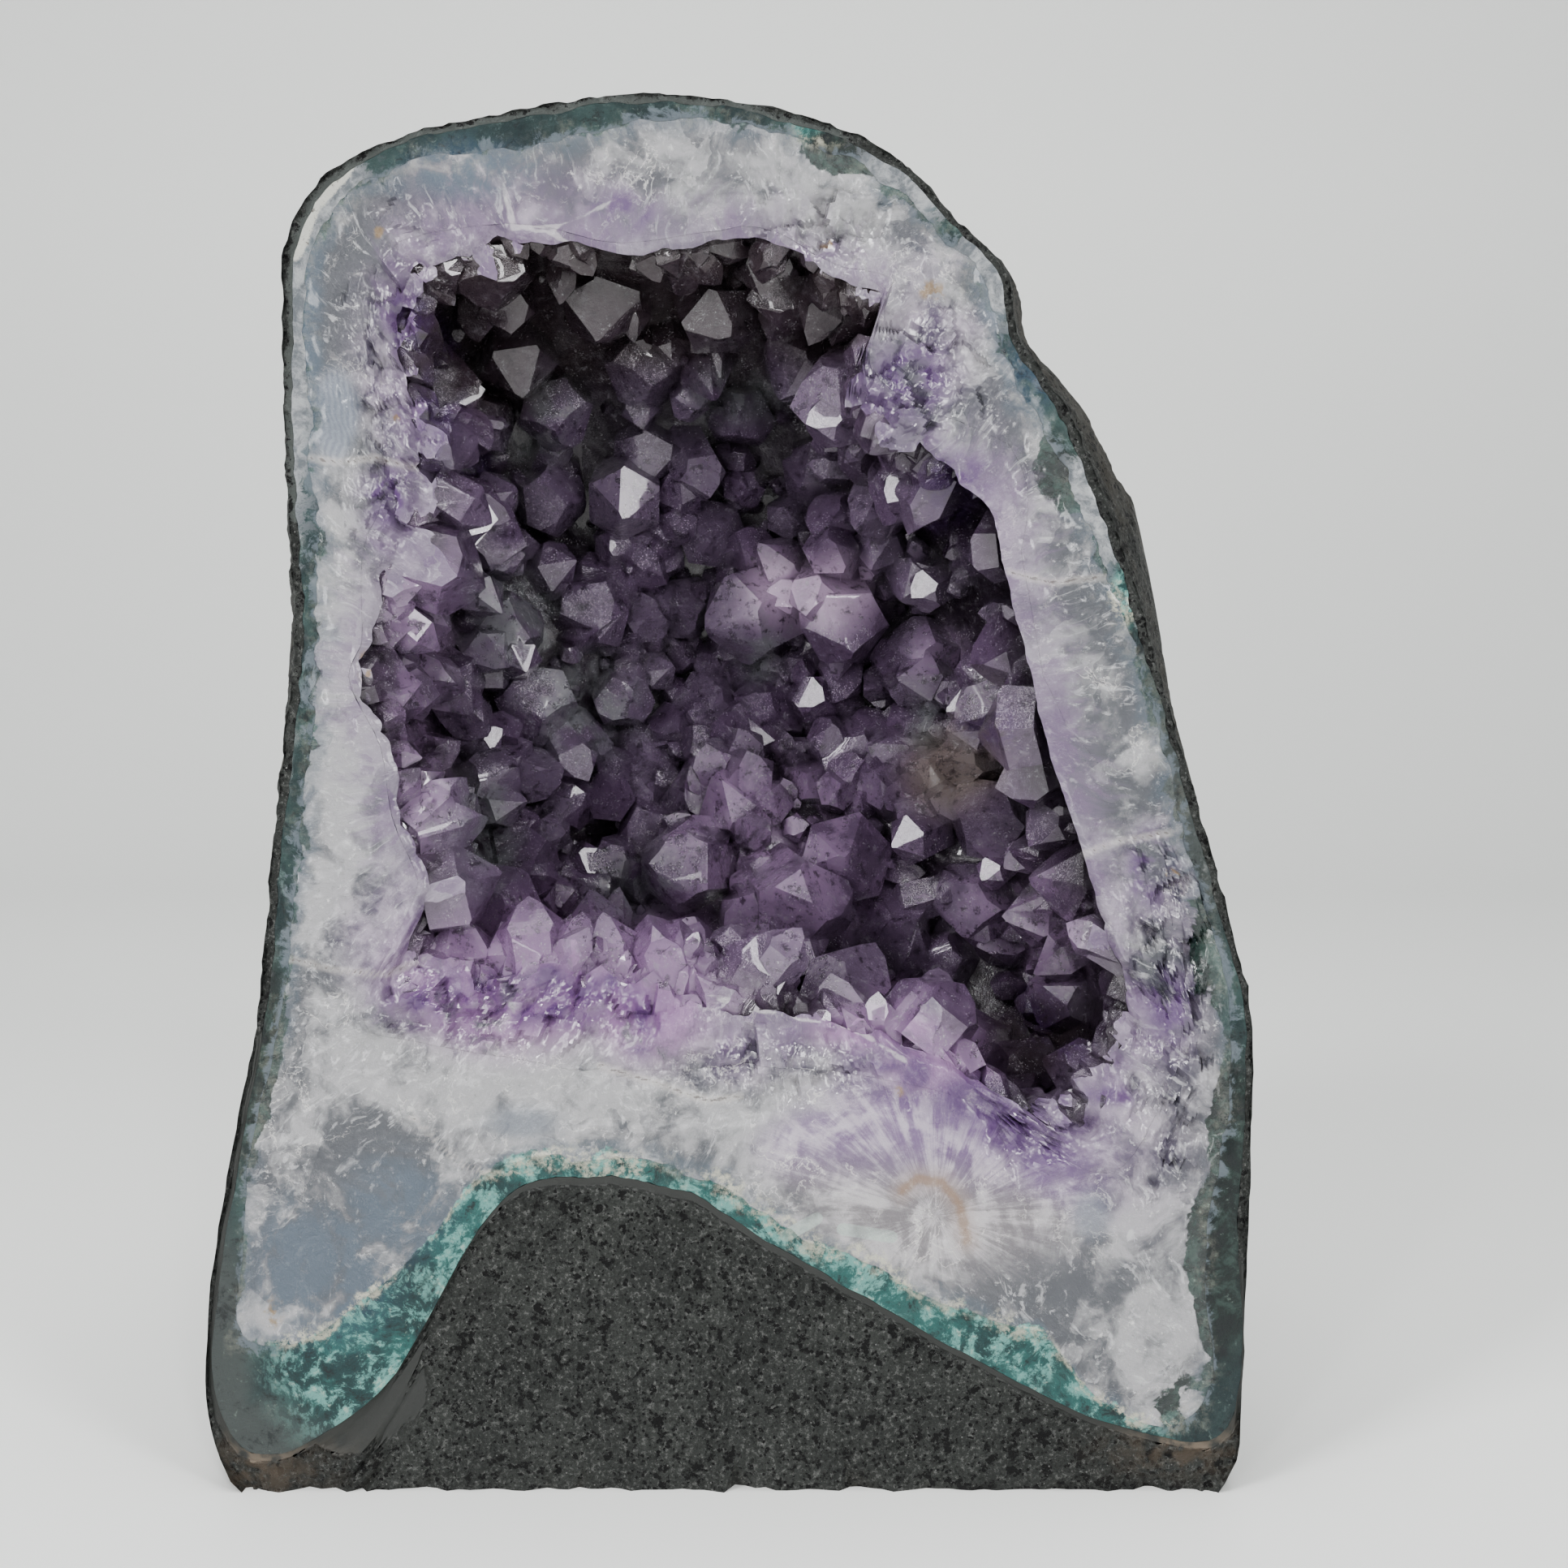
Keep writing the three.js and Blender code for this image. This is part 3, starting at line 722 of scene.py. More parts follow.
def glinting_crystals(rng):
    """Crystals with one end face turned so that the window opposite them shows in it."""
    grown = []
    eye, left, right = (Vector(to_front(place)) for place in (PHOTO_EYE, WINDOW_LEFT, WINDOW_RIGHT))
    for x, z, radius in GLINTS:
        window = left if x > 5 else right
        angle, phi = wall_spot_behind(x, z)
        inward = Vector(inward_normal(angle, phi))
        tip = radius * 0.85
        tilt = math.atan(tip / (radius * math.cos(math.pi / 6)))
        face_spot = Vector(hollow(angle, phi)) + inward * (radius + 4)
        mirror = ((eye - face_spot).normalized() + (window - face_spot).normalized()).normalized()
        axis = Matrix.Rotation(tilt, 3, mirror.cross(inward)) @ mirror
        outward = (mirror - axis * math.cos(tilt)).normalized()
        flat = Vector((0, 1, 0)).rotation_difference(axis).to_matrix().inverted() @ outward
        base = np.array(face_spot - axis * radius * 1.2)
        length = radius * rng.uniform(1.8, 2.1)
        grown.append((base, axis, radius, length, tip, (0, 0), math.atan2(flat.x, flat.z)))
    return grown


def ledge_crystals(rng):
    """The row of points along the lower lip, with shorter ones crowded in front of it."""
    grown = []
    for x, z, radius in LEDGE_TIPS:
        axis = Vector((rng.uniform(-0.3, 0.3), rng.uniform(-0.3, 0.1), 1)).normalized()
        tip = np.array((x, radius + rng.uniform(2.5, 5), z))
        base = tip - np.array(axis) * LEDGE_LENGTH
        grown.append((base, axis, radius * 1.25, LEDGE_LENGTH, radius * 1.25, (0, 0), rng.uniform(0, 3)))
    for _ in range(LEDGE_FRONT_COUNT):
        radius = rng.uniform(2, 4.2)
        x = rng.uniform(-60, 8)
        drop = rng.uniform(0, 1)
        tip = np.array((x, radius * (0.9 + 0.8 * (1 - drop)), 108 - 13 * drop))
        axis = Vector((rng.uniform(-0.4, 0.4), rng.uniform(-0.6, -0.1), 1)).normalized()
        length = rng.uniform(8, 12)
        base = tip - np.array(axis) * length + np.array((0, 1.5, 0))
        grown.append((base, axis, radius, length, radius * 1.1, (0, 0), rng.uniform(0, 3)))
    return grown


def lip_crystals(rng):
    """Crystals that crowd the broken lip and lean towards the middle of the mouth."""
    grown = []
    while len(grown) < LIP_COUNT:
        angle = rng.uniform(0, 2 * math.pi)
        flare = float(lip_flare(angle))
        if rng.uniform(0, 4) > flare:
            continue
        radius = rng.uniform(2.2, 5)
        depth = radius + rng.uniform(0.6, 4.0)
        base = ring(mouth_edge, np.array([angle]), depth)[0]
        outward = np.array((math.cos(angle), 0, math.sin(angle)))
        base += outward * (flare * 0.8 + 1.5)
        axis = Vector(-outward) + wobble(rng, 0.45)
        axis.normalize()
        length = radius * rng.uniform(1.1, 2.0) + flare * 0.5
        if base[1] + axis.y * length < radius * 0.5 + 0.4 or base[1] < radius * (1 - abs(axis.y)) + 0.4:
            continue
        tip = radius * rng.uniform(0.8, 1.2)
        grown.append((base, axis, radius, length, tip, (0, 0), rng.uniform(0, 3)))
    return grown


def small_crystals(rng, hosts, count, sizes):
    """Smaller crystals on the wall and on the flanks of the large ones."""
    grown = []
    while len(grown) < count:
        radius = rng.uniform(*sizes)
        if rng.random() < 0.6:
            angle = rng.uniform(0, 2 * math.pi)
            phi = math.acos(1 - rng.random())
            base = hollow(angle, phi)
            axis = inward_normal(angle, phi)
        else:
            point, main_axis, host_radius, length = hosts[rng.randrange(len(hosts))][:4]
            side = Vector(main_axis).orthogonal()
            side.rotate(Matrix.Rotation(rng.uniform(0, 2 * math.pi), 3, Vector(main_axis)))
            base = point + np.array(main_axis) * rng.uniform(0.1, 0.75) * (length - host_radius)
            base = base + np.array(side) * host_radius * 0.75
            axis = np.array(Vector(main_axis) + side * 0.9)
        axis = Vector(axis) + wobble(rng, 0.3)
        axis.normalize()
        length = radius * rng.uniform(1.5, 2.6)
        if base[1] - radius * (1 - abs(axis.y)) < 2.5 or base[1] + axis.y * length < 2.5:
            continue
        lean = (rng.uniform(-0.2, 0.2) * radius, rng.uniform(-0.2, 0.2) * radius)
        tip = radius * rng.uniform(0.9, 1.4)
        grown.append((base, axis, radius, length, tip, lean, rng.uniform(0, 3)))
    return grown


def separate_groups(crystals):
    """Sorts crystals into groups in which none touches another."""
    groups = []
    for made in crystals:
        centre = np.array(made[0]) + np.array(made[1]) * made[3] * 0.4
        reach = max(made[2], made[3] * 0.6 + ROOT_DEPTH) * 1.05
        for group in groups:
            if all(np.linalg.norm(centre - c) > reach + r for c, r, _ in group):
                group.append((centre, reach, made))
                break
        else:
            groups.append([(centre, reach, made)])
    return [[made for _, _, made in group] for group in groups]


def crystal_object(group, rng):
    points, faces, tones = [], [], []
    for made in group:
        corners, sides = crystal(*made)
        too_near = max(FRONT_CLEARANCE - min(c.y for c in corners), 0)
        corners = [c + Vector((0, too_near, 0)) for c in corners]
        start = len(points)
        points.extend(corners)
        faces.extend(tuple(start + i for i in side) for side in sides)
        tones.extend([rng.uniform(0.1, 1)] * len(sides))
    mesh = bpy.data.meshes.new("crystals")
    mesh.from_pydata([tuple(p) for p in to_row([tuple(p) for p in points])], [], faces)
    tone = mesh.attributes.new("tone", "FLOAT", "FACE")
    tone.data.foreach_set("value", tones)
    face_outward(mesh)
    return link("crystals", mesh)


def cut_away(target, tools):
    """target less every tool, by exact solid geometry; the tools are removed."""
    for tool in tools:
        step = target.modifiers.new("cut", "BOOLEAN")
        step.operation = "DIFFERENCE"
        step.solver = "MANIFOLD"
        step.object = tool
    bpy.context.view_layer.update()
    shaped = target.evaluated_get(bpy.context.evaluated_depsgraph_get())
    mesh = bpy.data.meshes.new_from_object(shaped)
    for tool in tools:
        bpy.data.objects.remove(tool)
    bpy.data.objects.remove(target)
    return mesh


def connected(start, unseen):
    """Every vertex that hangs together with one; all are taken out of unseen."""
    part, queue = {start}, [start]
    while queue:
        for edge in queue.pop().link_edges:
            for vert in edge.verts:
                if vert in unseen:
                    unseen.discard(vert)
                    part.add(vert)
                    queue.append(vert)
    return part


def keep_largest_part(mesh):
    with edited(mesh) as shape:
        unseen = set(shape.verts)
        parts = []
        while unseen:
            parts.append(connected(unseen.pop(), unseen))
        parts.sort(key=len)
        for part in parts[:-1]:
            bmesh.ops.delete(shape, geom=list(part), context="VERTS")


def open_hollow():
    """The empty space of the hollow, with its mouth carried forward out of the stone."""
    angles = whole_turn(HOLLOW_SPOKES)
    deep = [hollow(angles, phi) for phi in np.linspace(math.radians(88), math.radians(5), HOLLOW_ROWS)]
    deep += [open_wall(angles, phi) for phi in np.radians((3.5, 2.5, 1.5, 0.5, 0))]
    deep.append(deep[-1] - np.array((0, MOUTH_REACH, 0)))
    tip = hollow(0.0, math.pi / 2)
    space = link("open_space", closed_rows("open_space", deep, tip, (CENTRE[0], -MOUTH_REACH, CENTRE[1])))
    face_outward(space.data)
    return space


def grow_crystals(rng):
    """All crystals of the hollow, in groups in which none touches another."""
    mains = main_crystals() + glinting_crystals(rng) + ledge_crystals(rng) + lip_crystals(rng)
    middling = small_crystals(rng, mains, *MIDDLING_CRYSTALS)
    small = small_crystals(rng, mains, *SMALL_CRYSTALS)
    tiny = small_crystals(rng, mains + middling, *TINY_CRYSTALS)
    return separate_groups(mains + middling + small + tiny)


def lining_block():
    """The lining as a full block, its front rounded down towards the lip of the hollow."""
    angles = whole_turn(FULL_SPOKES)
    notches = lip_notches(angles)
    rounded = 0.4 + 0.4 * np.clip(lip_flare(angles), 0, 3)
    rows = [dome(lining_edge, lining_swell, LINING_DEPTH, angles, phi, GAP / 2)
            for phi in HIDDEN_STEPS[::-1]]
    for share in np.linspace(0, 1, LINING_ROWS):
        row = ring(lambda a: lining_edge(a) * (1 - share) + (mouth_edge(a) - 12) * share - 0.02, angles)
        from_lip = polar(row)[1] - mouth_edge(angles) - notches
        rounding = np.clip(1 - from_lip / LIP_ROUNDING, 0, 1) ** 2 * rounded
        row[:, 1] = front_relief(row) + rounding
        rows.append(row)
    first = dome(lining_edge, lining_swell, LINING_DEPTH, 0.0, math.pi / 2, GAP / 2)
    lining = link("lining", closed_rows("lining", rows, first, (CENTRE[0], 0, CENTRE[1])))
    face_outward(lining.data)
    cut = lining.data.attributes.new("cut", "FLOAT", "FACE")
    on_front = [float(to_front(face.center)[1] < FRONT_REACH) for face in lining.data.polygons]
    cut.data.foreach_set("value", on_front)
    return lining


def make_crust():
    """The crystals of the hollow fused with their lining."""
    rng = random.Random(5)
    space = open_hollow()
    groups = grow_crystals(rng)
    mesh = cut_away(space, [crystal_object(group, rng) for group in groups])
    keep_largest_part(mesh)
    return link("amethyst", cut_away(lining_block(), [link("open_space", mesh)]))


# Colour fields on the meshes

# A distance beyond the reach of all edges and lines
FAR = 50


def field(p, spots):
    """1 in the middle of each field, falling to 0 outside; p in local millimetres."""
    total = np.zeros(len(p))
    for x, z, wide, high in spots:
        d = ((p[:, 0] - x) / wide) ** 2 + ((p[:, 2] - z) / high) ** 2
        total = np.maximum(total, np.exp(-d * 0.9))
    return total


def line_distance(p, lines):
    """Distance on the front from the nearest of some lines, in millimetres."""
    spot = p[:, [0, 2]]
    nearest = np.full(len(p), float(FAR))
    for line in lines:
        for start, end in zip(np.array(line, float), np.array(line[1:], float)):
            along = end - start
            share = np.clip((spot - start) @ along / (along @ along), 0, 1)
            foot = start + share[:, None] * along
            nearest = np.minimum(nearest, np.hypot(*(spot - foot).T))
    return nearest


def write(mesh, name, values):
    layer = mesh.attributes.new(name, "FLOAT", "POINT")
    layer.data.foreach_set("value", np.asarray(values, np.float32))


def write_vectors(mesh, name, *parts):
    layer = mesh.attributes.new(name, "FLOAT_VECTOR", "POINT")
    layer.data.foreach_set("vector", (np.stack(parts, axis=-1) * MM).astype(np.float32).ravel())


def coordinates(mesh):
    flat = np.empty(len(mesh.vertices) * 3)
    mesh.vertices.foreach_get("co", flat)
    return to_front(flat.reshape(-1, 3))


def paint_basalt(obj):
    """The smooth sawn margin under the rind and the polished patch, on the front only."""
    mesh = obj.data
    p = coordinates(mesh)
    direction, radius = polar(p)
    inside = radius - rind_edge(direction)
    angle = np.degrees(direction)
    on_front = p[:, 1] < FRONT_FACE
    sawn = on_front & (angle > SAWN_ARC[0]) & (angle < SAWN_ARC[1])
    write(mesh, "margin", np.where(sawn, inside, FAR))
    write(mesh, "polished", np.where(sawn, field(p, SMOOTH_BASALT), 0))
    write(mesh, "dirt", field(p, DIRT_FIELDS))
    write(mesh, "outside", np.clip((p[:, 1] - 1.5) / 3, 0, 1))
    on_rim = on_front & (angle > RIM_ARC[0]) & (angle < RIM_ARC[1])
    write(mesh, "rim", np.where(on_rim, inside, FAR))


def paint_layers(obj):
    """Distances from the layers' boundaries and the fields of colour, for the materials."""
    mesh = obj.data
    p = coordinates(mesh)
    angle, radius = polar(p)
    write(mesh, "from_rind", quartz_edge(angle) - radius)
    write(mesh, "from_mouth", radius - mouth_edge(angle))
    for name, spots in FRONT_FIELDS.items():
        write(mesh, name, field(p, spots))
    for name, lines in FRONT_LINES.items():
        write(mesh, name, line_distance(p, lines))
    away = p[:, [0, 2]] - np.array(BURST_CENTRE)
    turn = np.arctan2(away[:, 1], away[:, 0])
    write_vectors(mesh, "rays", np.cos(turn) * 20, np.hypot(*away.T) * 0.1, np.sin(turn) * 20)
    write_vectors(mesh, "flow", np.cos(angle) * 80, radius * 0.3, np.sin(angle) * 80)


def paint_crystals(obj):
    mesh = obj.data
    p = coordinates(mesh)
    angles = whole_turn(120)
    wall = np.concatenate([hollow(angles, phi) for phi in np.linspace(0, math.radians(88), 30)])
    tree = KDTree(len(wall))
    for i, q in enumerate(wall):
        tree.insert(q, i)
    tree.balance()
    # Height above the wall, which the amethyst turns into painted shade in the valleys and painted light at
    # the tips
    write(mesh, "height", [tree.find(q)[2] / 20 for q in p])
    eye = np.array(EYE)
    share = (-eye[1] / (p[:, 1] - eye[1]))[:, None]
    seen = eye + (p - eye) * share
    for name, spots in HOLLOW_FIELDS.items():
        write(mesh, name, field(seen, spots))


# Materials

MIDDLE = (0.5, 0.5, 0.5)


class Shading:
    """Short calls for building one node tree."""

    def __init__(self, name):
        self.material = bpy.data.materials.new(name)
        self.material.use_nodes = True
        self.nodes = self.material.node_tree.nodes
        self.links = self.material.node_tree.links
        self.nodes.clear()
        self.output = self.add("ShaderNodeOutputMaterial")
        self.where = self.add("ShaderNodeTexCoord").outputs["Object"]

    def add(self, kind, inputs=None, **settings):
        made = self.nodes.new(kind)
        for key, value in settings.items():
            setattr(made, key, value)
        for key, value in (inputs or {}).items():
            if isinstance(value, bpy.types.NodeSocket):
                self.links.new(value, made.inputs[key])
            else:
                made.inputs[key].default_value = value
        return made

    def attribute(self, name, out="Fac"):
        return self.add("ShaderNodeAttribute", attribute_name=name).outputs[out]

    def noise(self, scale, detail=5.0, rough=0.55, vector=None, distortion=0.0):
        inputs = {"Vector": vector or self.where, "Scale": scale, "Detail": detail, "Roughness": rough,
                  "Distortion": distortion}
        return self.add("ShaderNodeTexNoise", inputs).outputs["Fac"]

    def cells(self, scale, out="Distance", vector=None):
        inputs = {"Vector": vector or self.where, "Scale": scale}
        return self.add("ShaderNodeTexVoronoi", inputs).outputs[out]

    def cell_tone(self, scale, vector):
        """One random number in each cell."""
        return self.add("ShaderNodeSeparateColor", {"Color": self.cells(scale, "Color", vector)}).outputs[0]

    def noise_colour(self, scale, detail):
        inputs = {"Vector": self.where, "Scale": scale, "Detail": detail}
        return self.add("ShaderNodeTexNoise", inputs).outputs["Color"]

    def vector(self, operation, a, b=(0.0, 0.0, 0.0)):
        return self.add("ShaderNodeVectorMath", {0: a, 1: b}, operation=operation).outputs[0]

    def scaled(self, vector, amount):
        return self.add("ShaderNodeVectorMath", {0: vector, "Scale": amount}, operation="SCALE").outputs[0]

    def warped(self, scale, amount):
        """Object coordinates pushed about by noise, by about amount metres."""
        push = self.vector("SUBTRACT", self.noise_colour(scale, 4.0), MIDDLE)
        return self.vector("ADD", self.where, self.scaled(push, amount * 2))

    def veins(self, scale, width, vector=None):
        """Thin wandering lines, strongest in the middle."""
        off_line = self.math("ABSOLUTE", self.math("SUBTRACT", self.noise(scale, 6, 0.62, vector), 0.5))
        return self.fit(off_line, width, 0.0)

    def tipped(self, scale, amount, normal=None):
        """The normal tipped another way in each small cell, like the steps of broken crystal."""
        push = self.vector("SUBTRACT", self.cells(scale, "Color"), MIDDLE)
        plain = normal or self.add("ShaderNodeNewGeometry").outputs["Normal"]
        return self.vector("NORMALIZE", self.vector("ADD", plain, self.scaled(push, amount)))

    def fit(self, value, low, high, to_low=0.0, to_high=1.0):
        inputs = {"Value": value, "From Min": low, "From Max": high, "To Min": to_low, "To Max": to_high}
        return self.add("ShaderNodeMapRange", inputs, interpolation_type="SMOOTHSTEP").outputs["Result"]

    def math(self, operation, a, b=0.5):
        return self.add("ShaderNodeMath", {0: a, 1: b}, operation=operation).outputs[0]

    def times(self, a, b):
        return self.math("MULTIPLY", a, b)

    def plus(self, a, b):
        return self.math("ADD", a, b)

    def most(self, a, b):
        return self.math("MAXIMUM", a, b)

    def swing(self, value, amount):
        """A value round a half, spread to both sides of zero."""
        return self.times(self.math("SUBTRACT", value, 0.5), amount)

    def mix(self, share, a, b):
        """The colour a with b laid over it."""
        colours = {6: a if isinstance(a, bpy.types.NodeSocket) else (*a, 1),
                   7: b if isinstance(b, bpy.types.NodeSocket) else (*b, 1)}
        return self.add("ShaderNodeMix", {0: share, **colours}, data_type="RGBA").outputs[2]

    def mark(self, name, low, high, to_low=0.0, to_high=1.0):
        """A painted field of the mesh, fitted to a range."""
        return self.fit(self.attribute(name), low, high, to_low, to_high)

    def bump(self, height, distance, strength=1.0, normal=None):
        inputs = {"Height": height, "Distance": distance, "Strength": strength}
        if normal:
            inputs["Normal"] = normal
        return self.add("ShaderNodeBump", inputs).outputs["Normal"]

    def surface(self, inputs):
        shader = self.add("ShaderNodeBsdfPrincipled", inputs)
        self.links.new(shader.outputs[0], self.output.inputs["Surface"])


def basalt_material():
    """Dark granular stone full of pits, painted near black as shade; a sawn margin and a patch are smooth,
    the outside is browner.
    """
    s = Shading("basalt")
    broad = s.noise(60, 4)
    grain = s.noise(1000, 6, 0.85)
    lumps = s.noise(420, 6, 0.8)
    wandering = s.fit(lumps, 0.35, 0.65, 0.35, -0.35)
    fine_pits = s.fit(s.plus(s.cells(1000), wandering), 0.2, 0.32)
    pits = s.fit(s.plus(s.cells(430), wandering), 0.16, 0.22)
    large_pits = s.fit(s.plus(s.cells(170), wandering), 0.06, 0.12)
    smooth = s.most(s.mark("margin", 2.6, 1.4), s.mark("polished", 0.35, 0.5))
    colour = s.mix(s.fit(broad, 0.35, 0.7), (0.05, 0.055, 0.051), (0.08, 0.087, 0.08))
    colour = s.mix(s.fit(grain, 0.52, 0.62), colour, (0.24, 0.245, 0.235))
    colour = s.mix(s.fit(grain, 0.47, 0.37), colour, (0.012, 0.013, 0.012))
    weathered = s.times(s.attribute("outside"), s.fit(s.noise(38, 7, 0.7), 0.4, 0.6))
    colour = s.mix(s.times(weathered, 0.6), colour, (0.11, 0.096, 0.075))
    # Mask that is low in the pits: they are painted near black as shade and sunk by the bump
    pit_shade = s.times(s.times(pits, large_pits), fine_pits)
    pit_shade = s.most(pit_shade, smooth)
    colour = s.mix(pit_shade, (0.002, 0.002, 0.0025), colour)
    glint = s.times(s.fit(s.cells(620), 0.14, 0.05), s.fit(s.noise(200, 3), 0.45, 0.6))
    colour = s.mix(glint, colour, (0.35, 0.35, 0.34))
    colour = s.mix(smooth, colour, (0.02, 0.022, 0.02))
    dirt = s.times(s.attribute("dirt"), s.fit(s.noise(300, 5), 0.35, 0.6))
    colour = s.mix(dirt, colour, (0.15, 0.12, 0.09))
    crusted = s.fit(s.plus(s.attribute("rim"), s.fit(lumps, 0.35, 0.65, -1.0, 1.0)), 1.6, 0.9, 0.0, 0.8)
    colour = s.mix(crusted, colour, (0.16, 0.18, 0.17))
    normal = s.bump(pit_shade, 0.0024, 1.0)
    uneven_height = s.times(s.plus(grain, lumps), s.fit(smooth, 1, 0, 0.05, 1))
    normal = s.bump(uneven_height, 0.003, 1.0, normal)
    s.surface({"Base Color": colour, "Roughness": s.fit(smooth, 0, 1, 0.55, 0.45), "Normal": normal})
    return s.material


def rind_colour(s):
    """Dark green skin of the agate, slate at the feet, turquoise and pale in places."""
    mottle = s.noise(210, 7, 0.75, s.warped(60, 0.006))
    patch = s.noise(95, 6, 0.65)
    crumb = s.noise(620, 6, 0.75)
    dark = s.mix(s.fit(patch, 0.4, 0.62), (0.006, 0.02, 0.022), (0.03, 0.062, 0.058))
    dark = s.mix(s.fit(mottle, 0.54, 0.66, 0.0, 0.8), dark, (0.1, 0.15, 0.14))
    dark = s.mix(s.mark("slate", 0.15, 0.7), dark, (0.045, 0.055, 0.053))
    bright = s.mix(s.fit(patch, 0.42, 0.6), (0.004, 0.035, 0.036), (0.02, 0.1, 0.092))
    bright = s.mix(s.fit(mottle, 0.48, 0.58), bright, (0.14, 0.31, 0.28))
    bright = s.mix(s.fit(s.plus(mottle, crumb), 1.1, 1.24, 0.0, 0.8), bright, (0.36, 0.42, 0.36))
    colour = s.mix(s.mark("teal", 0.02, 0.5), dark, bright)
    green = s.mix(s.fit(mottle, 0.45, 0.62), (0.003, 0.01, 0.009), (0.03, 0.055, 0.046))
    colour = s.mix(s.mark("moss", 0.15, 0.6), colour, green)
    blue = s.times(s.mark("blue", 0.1, 0.8), s.fit(mottle, 0.6, 0.4))
    colour = s.mix(blue, colour, (0.025, 0.055, 0.09))
    colour = s.mix(s.fit(mottle, 0.45, 0.35, 0, 0.85), colour, (0.003, 0.006, 0.008))
    return s.mix(s.fit(crumb, 0.6, 0.7, 0, 0.5), colour, (0.2, 0.26, 0.22)), mottle, crumb


def crumbs(s, colour, crumb, low, high):
    """Cream crumbs in a broken band on both sides of the rind's inner edge, thickest at the foot."""
    ragged = s.swing(s.noise(120, 6, 0.75), 24.0)
    edge = s.plus(s.attribute("from_rind"), ragged)
    band = s.times(s.fit(edge, low, 0.0), s.fit(edge, high, 0.0))
    band = s.times(band, s.mark("teal", 0.05, 0.5, 0.15, 1.0))
    band = s.times(band, s.fit(s.noise(70, 4, 0.6), 0.38, 0.5))
    share = s.times(band, s.fit(crumb, 0.42, 0.56))
    return s.mix(s.times(share, 0.85), colour, (0.42, 0.41, 0.33))


def chip(s, colour, crumb):
    """The chalky chipped edge at the upper left."""
    chalk = s.mix(s.fit(crumb, 0.36, 0.42), (0.1, 0.09, 0.08), (0.5, 0.5, 0.46))
    chipped = s.fit(s.plus(s.attribute("chipped"), s.times(crumb, 3.0)), 4.2, 3.6)
    return s.mix(chipped, colour, chalk)


def rind_material():
    s = Shading("green_rind")
    colour, mottle, crumb = rind_colour(s)
    colour = crumbs(s, colour, crumb, -3.5, 3.5)
    border = s.plus(s.attribute("from_rind"), s.fit(mottle, 0.3, 0.7, -2.5, 2.5))
    thinning = s.times(s.fit(border, -1.6, 0.2), s.mark("teal", 0.5, 0.05))
    colour = s.mix(s.times(thinning, 0.8), colour, (0.13, 0.155, 0.18))
    milky = s.mix(s.fit(mottle, 0.38, 0.6), (0.12, 0.135, 0.15), (0.36, 0.37, 0.38))
    bare = s.plus(s.attribute("bare"), s.fit(mottle, 0.35, 0.65, 0.25, -0.25))
    colour = s.mix(s.fit(bare, 0.25, 0.5), colour, milky)
    colour = s.mix(s.mark("pale_table", 1.3, 1.1, 0.0, 0.5), colour, (0.27, 0.35, 0.31))
    colour = chip(s, colour, crumb)
    normal = s.bump(s.plus(mottle, crumb), 0.0012, 0.8)
    s.surface({"Base Color": colour, "Roughness": 0.35, "Coat Weight": 0.25, "Coat Roughness": 0.15,
               "Normal": normal})
    return s.material


def quartz_grain(s):
    """The noises and distances that the quartz's colours share."""
    swirl = s.scaled(s.noise_colour(30.0, 3.0), 0.02)
    flow = s.vector("ADD", s.attribute("flow", "Vector"), swirl)
    return SimpleNamespace(
        fibre=s.noise(900, 6, 0.65, flow, 0.4),
        broad_fibre=s.noise(330, 5, 0.6, flow, 0.8),
        cloud=s.noise(48, 6, 0.6, None, 0.5),
        veil=s.noise(150, 5, 0.58, s.warped(50, 0.012)),
        speck=s.noise(520, 6, 0.75),
        from_rind=s.attribute("from_rind"),
        from_mouth=s.attribute("from_mouth"),
        burst=s.mark("burst", 0.25, 0.75),
    )


def quartz_body(s, grain):
    """Milky clouds, clear places, lilac haze, wisps across the layer and specks."""
    body = s.plus(s.times(grain.cloud, 0.5), s.times(grain.veil, 0.5))
    body = s.math("SUBTRACT", body, s.times(s.attribute("clear"), 0.09))
    body = s.plus(body, s.times(s.attribute("milky"), 0.1))
    body = s.plus(body, s.fit(s.cell_tone(85, s.warped(60, 0.012)), 0.0, 1.0, -0.035, 0.035))
    colour = s.mix(s.fit(body, 0.41, 0.59), (0.06, 0.064, 0.074), (0.29, 0.288, 0.295))
    haze = s.times(s.mark("haze", 0.1, 0.9), s.fit(s.noise(34, 5, 0.6), 0.36, 0.56))
    tint = s.mix(s.fit(grain.veil, 0.38, 0.62), (0.09, 0.062, 0.115), (0.31, 0.26, 0.33))
    colour = s.mix(s.times(haze, 0.8), colour, tint)
    streak = s.times(s.fit(grain.fibre, 0.54, 0.62), s.fit(grain.broad_fibre, 0.45, 0.58))
    streak = s.times(streak, s.fit(grain.burst, 0.0, 1.0, 0.45, 0.1))
    colour = s.mix(streak, colour, (0.52, 0.52, 0.53))
    colour = s.mix(s.fit(grain.speck, 0.62, 0.68, 0.0, 0.6), colour, (0.64, 0.63, 0.62))
    return s.mix(s.fit(grain.speck, 0.4, 0.32, 0.0, 0.35), colour, (0.05, 0.05, 0.06))


